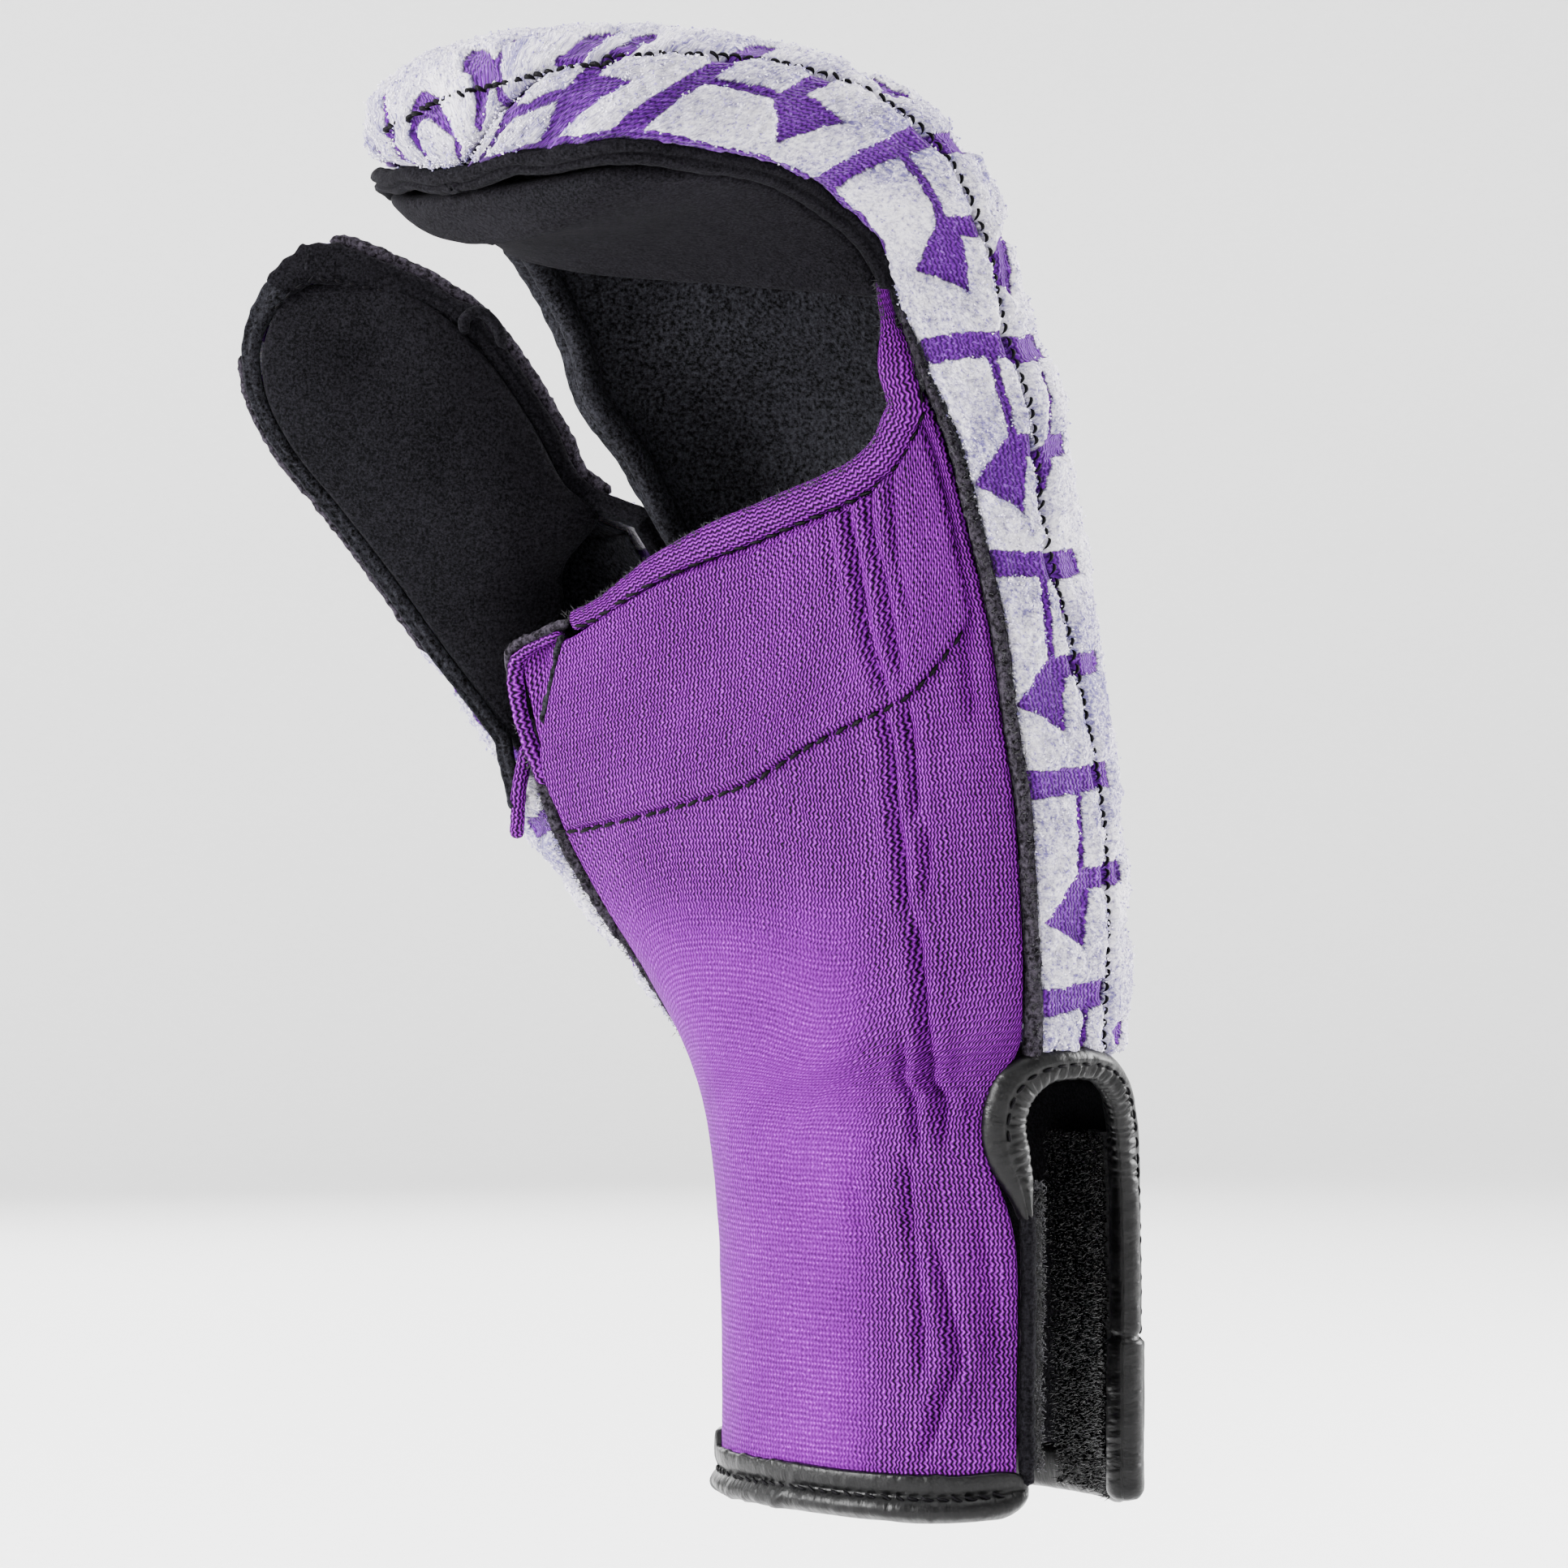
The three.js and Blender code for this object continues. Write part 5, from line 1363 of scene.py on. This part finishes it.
# Strip of seam allowance that follows the thumb's two seams over the tip, broad and puckered at the tip
def addFlange(rails):
    look = {
        "left": 0.6, "right": 0.8, "tip": 0.75, "tipRun": 13.0, "pucker": 0.4, "foldAt": 29.0, "step": 0.5,
        "sides": 26,
    }
    lowEnd = [(-64.3, 10.8, 106.6), (-65.1, 12.8, 110.4), (-66.2, 15.6, 114.0)]
    left = np.concatenate([lowEnd, rowsAt(thumbRows, np.linspace(9.6, 0, 150))[:, 0:3]])
    right = rowsAt(rails, np.linspace(0, 9.0, 150))[:, 3:6]
    points = np.concatenate([left, right[1:]])
    walk = walkAlong(points)
    even = np.arange(0, walk[-1], look["step"])
    # Millimetres past the tip, negative down the left side
    tip = even - walk[len(left) - 1]
    points = pointsAt(even, walk, points)
    blur = np.ones(17) / 17
    padded = np.pad(points, ((8, 8), (0, 0)), mode="edge")
    smooth = np.stack([np.convolve(padded[:, k], blur, "valid") for k in range(3)], 1)
    toViewer = np.broadcast_to([0.0, -1.0, 0.0], points.shape)
    sides = unit(np.cross(np.gradient(smooth, axis=0), toViewer))
    inward = np.array([-88.0, 6.0, 160.0]) - points[len(points) // 3]
    flip = np.sign(np.dot(inward, sides[len(points) // 3]))
    atTip = np.exp(-((tip - 2) / look["tipRun"]) ** 2)
    fromFold = tip - look["foldAt"]
    folded = np.exp(-(fromFold / 1.8) ** 2) - 0.7 * np.exp(-((fromFold - 4.2) / 1.3) ** 2)
    broad = mix(look["left"], look["right"], ramp(tip, -4, 14)) + look["tip"] * atTip
    section = closedCurve([
        (0.0, 0.5), (0.2, 1.4), (1.6, 1.6), (3.2, 1.5), (4.3, 0.9), (4.4, 0.0), (3.0, -0.45), (1.2, -0.5),
        (0.1, -0.2),
    ], look["sides"])
    shaped = np.broadcast_to(section, (len(points), *section.shape)).copy()
    shaped[..., 0] *= (flip * broad)[:, None]
    shaped[..., 1] = 0.9 * (1 + 0.35 * atTip[:, None]) * (shaped[..., 1] + 0.5) - 1.4
    pucker = 0.12 * np.sin(even * 2 * np.pi / 3.1) + look["pucker"] * softNoise(points, 4.0, 5.0)
    swing = pucker * (0.3 + 0.7 * atTip) + 0.9 * folded
    dark = int((tip < -9).sum())
    for name, part, finish, stands in (
        ("thumbSeamLeft", slice(0, dark + 4), lining, ["thumb_seam"]),
        ("thumbSeam", slice(dark, len(points)), suede, []),
    ):
        def relief(walk, side, up, rings):
            edge = ramp(1.5 - flip * side, 0, 1.5)
            fromGroove = flip * side / broad[part][:, None] - 1.3
            groove = 0.5 * np.exp(-(fromGroove / 0.35) ** 2) * ramp(up, -0.6, 0.2)
            return edge * swing[part][:, None] - groove + 0.08 * softNoise(rings, 1.5, 2.0)
        addSweep(name, finish, stands, points[part], toViewer[part], shaped[part], relief)
    inner = flip * sides
    row = points + inner * (4.1 * broad)[:, None] + toViewer * (0.35 + 0.5 * atTip)[:, None]
    chosen = (tip > -12) & (tip < 60)
    thread = {
        "pitch": 2.3, "length": 1.4, "thick": 0.5, "proud": 0.1, "sunk": 0.1, "slant": 0.2, "stray": 0.3,
    }
    addStitches("thumbStitches", row[chosen], toViewer[chosen], thread)
    # Cut edge of the back, seen outside the strip from the tip down the right-hand side
    for name, outside, width, out in (
        ("thumbBackEdge", (tip > 4) & (tip < 66), 2.6, 0.5),
        ("thumbBackEdgeLeft", (tip > -76) & (tip < -20), 1.3, 0.1),
    ):
        edge, toward = (points - inner * out - toViewer * 1.3)[outside], toViewer[outside]
        addTube(name, rawEdge, [], edge, toward, width, 1.8, fuzzyRelief, 14, 3.0)
    # Pleat where the strip's spare length is caught in the seam: steps along the strip and millimetres inward
    at = int(np.argmin(np.abs(fromFold)))
    turns = [points[at + ahead] + inner[at] * aside for ahead, aside in (
        (3, 3.6), (0, 1.8), (2, -0.6), (9, -0.9), (15, 0.4),
    )]
    raised = 0.8 + 0.5 * np.sin(np.linspace(0, np.pi, 30))
    line = rowsAt(turns, np.linspace(0, 4, 30)) + toViewer[0] * raised[:, None]
    toward = np.broadcast_to(toViewer[0], line.shape)
    addTube("thumbPleat", suede, [], line, toward, 1.9, 1.8, None, 14, 1.6)


addHandPanels()
addPocket()
addHandLining()
addPalmLining()
addEdges()
addSeamStitches()
print("hand made")
addCuff()
addThumb()
print("cuff and thumb made")


# Solids that stay as they are: the two tapes
def dressSolids():
    for node in ("hook_tape", "loop_tape"):
        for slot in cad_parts[node].material_slots:
            slot.material = tape


dressSolids()


def makeCamera():
    view = {"place": (-21.25, -750, 110.5), "frameWidth": 241.5, "sensor": 36.0}
    data = bpy.data.cameras.new("photoView")
    data.sensor_width = view["sensor"]
    data.lens = view["sensor"] * -view["place"][1] / view["frameWidth"]
    camera = bpy.data.objects.new("photoView", data)
    camera.location = [v * metre for v in view["place"]]
    camera.rotation_euler = (math.radians(90), 0, 0)
    bpy.context.collection.objects.link(camera)
    bpy.context.scene.camera = camera


# Bowl-shaped pale backdrop: a flat floor that curves up to a wall on every side
def makeStage():
    bowl = {"floor": -70, "flat": 1500, "curve": 500, "wall": 1500}
    finish, tree = newFinish("matt white paper, rolled")
    grain = addNode(tree, "TexNoise", {"Scale": 900.0, "Detail": 2.0})
    tone = addNode(tree, "Mix", {0: grain, 6: "#f2f2f2", 7: "#f8f8f8"}, data_type="RGBA")
    closeFinish(tree, {"Base Color": tone, "Roughness": 0.9})
    profile = [(bowl["flat"], bowl["floor"])]
    for k in range(1, 9):
        a = math.pi / 2 * k / 8
        rise = bowl["curve"] * (1 - math.cos(a))
        profile.append((bowl["flat"] + bowl["curve"] * math.sin(a), bowl["floor"] + rise))
    profile.append((bowl["flat"] + bowl["curve"], bowl["floor"] + bowl["curve"] + bowl["wall"]))
    turns = 64
    circle = [(math.cos(2 * math.pi * k / turns), math.sin(2 * math.pi * k / turns)) for k in range(turns)]
    verts = [(r * x * metre, r * y * metre, z * metre) for r, z in profile for x, y in circle]
    faces = [tuple(range(turns))]
    for i in range(len(profile) - 1):
        for k in range(turns):
            a, b = i * turns + k, i * turns + (k + 1) % turns
            faces.append((b, a, a + turns, b + turns))
    mesh = bpy.data.meshes.new("backdrop")
    mesh.from_pydata(verts, [], faces)
    mesh.shade_smooth()
    mesh.materials.append(finish)
    floor = bpy.data.objects.new("backdrop", mesh)
    bpy.context.collection.objects.link(floor)


def addLight(name, place, size, power):
    target = Vector((-0.02, 0, 0.11))
    data = bpy.data.lights.new(name, "AREA")
    data.shape = "RECTANGLE"
    data.size, data.size_y = size
    data.energy = power
    lamp = bpy.data.objects.new(name, data)
    lamp.location = place
    lamp.rotation_euler = (target - Vector(place)).to_track_quat("-Z", "Y").to_euler()
    bpy.context.collection.objects.link(lamp)


def makeLights():
    addLight("keySoftbox", (-1.15, -0.3, 0.5), (0.4, 0.7), 52)
    addLight("topSoftbox", (-0.1, -0.1, 1.2), (0.8, 0.8), 20)
    addLight("rimSoftbox", (1.0, 0.35, 0.5), (0.4, 0.8), 46)
    addLight("backSoftbox", (-0.3, 1.1, 0.6), (0.9, 0.9), 16)
    world = bpy.data.worlds.new("studio")
    world.use_nodes = True
    world.node_tree.nodes["Background"].inputs[0].default_value = hexColour("#ffffff")
    world.node_tree.nodes["Background"].inputs[1].default_value = 0.42
    bpy.context.scene.world = world


makeCamera()
makeStage()
makeLights()
print("camera, backdrop and lights placed")

pieces = [piece.data for piece in bpy.data.objects if piece.type == "MESH"]
print("triangles", sum(len(face.vertices) - 2 for mesh in pieces for face in mesh.polygons))
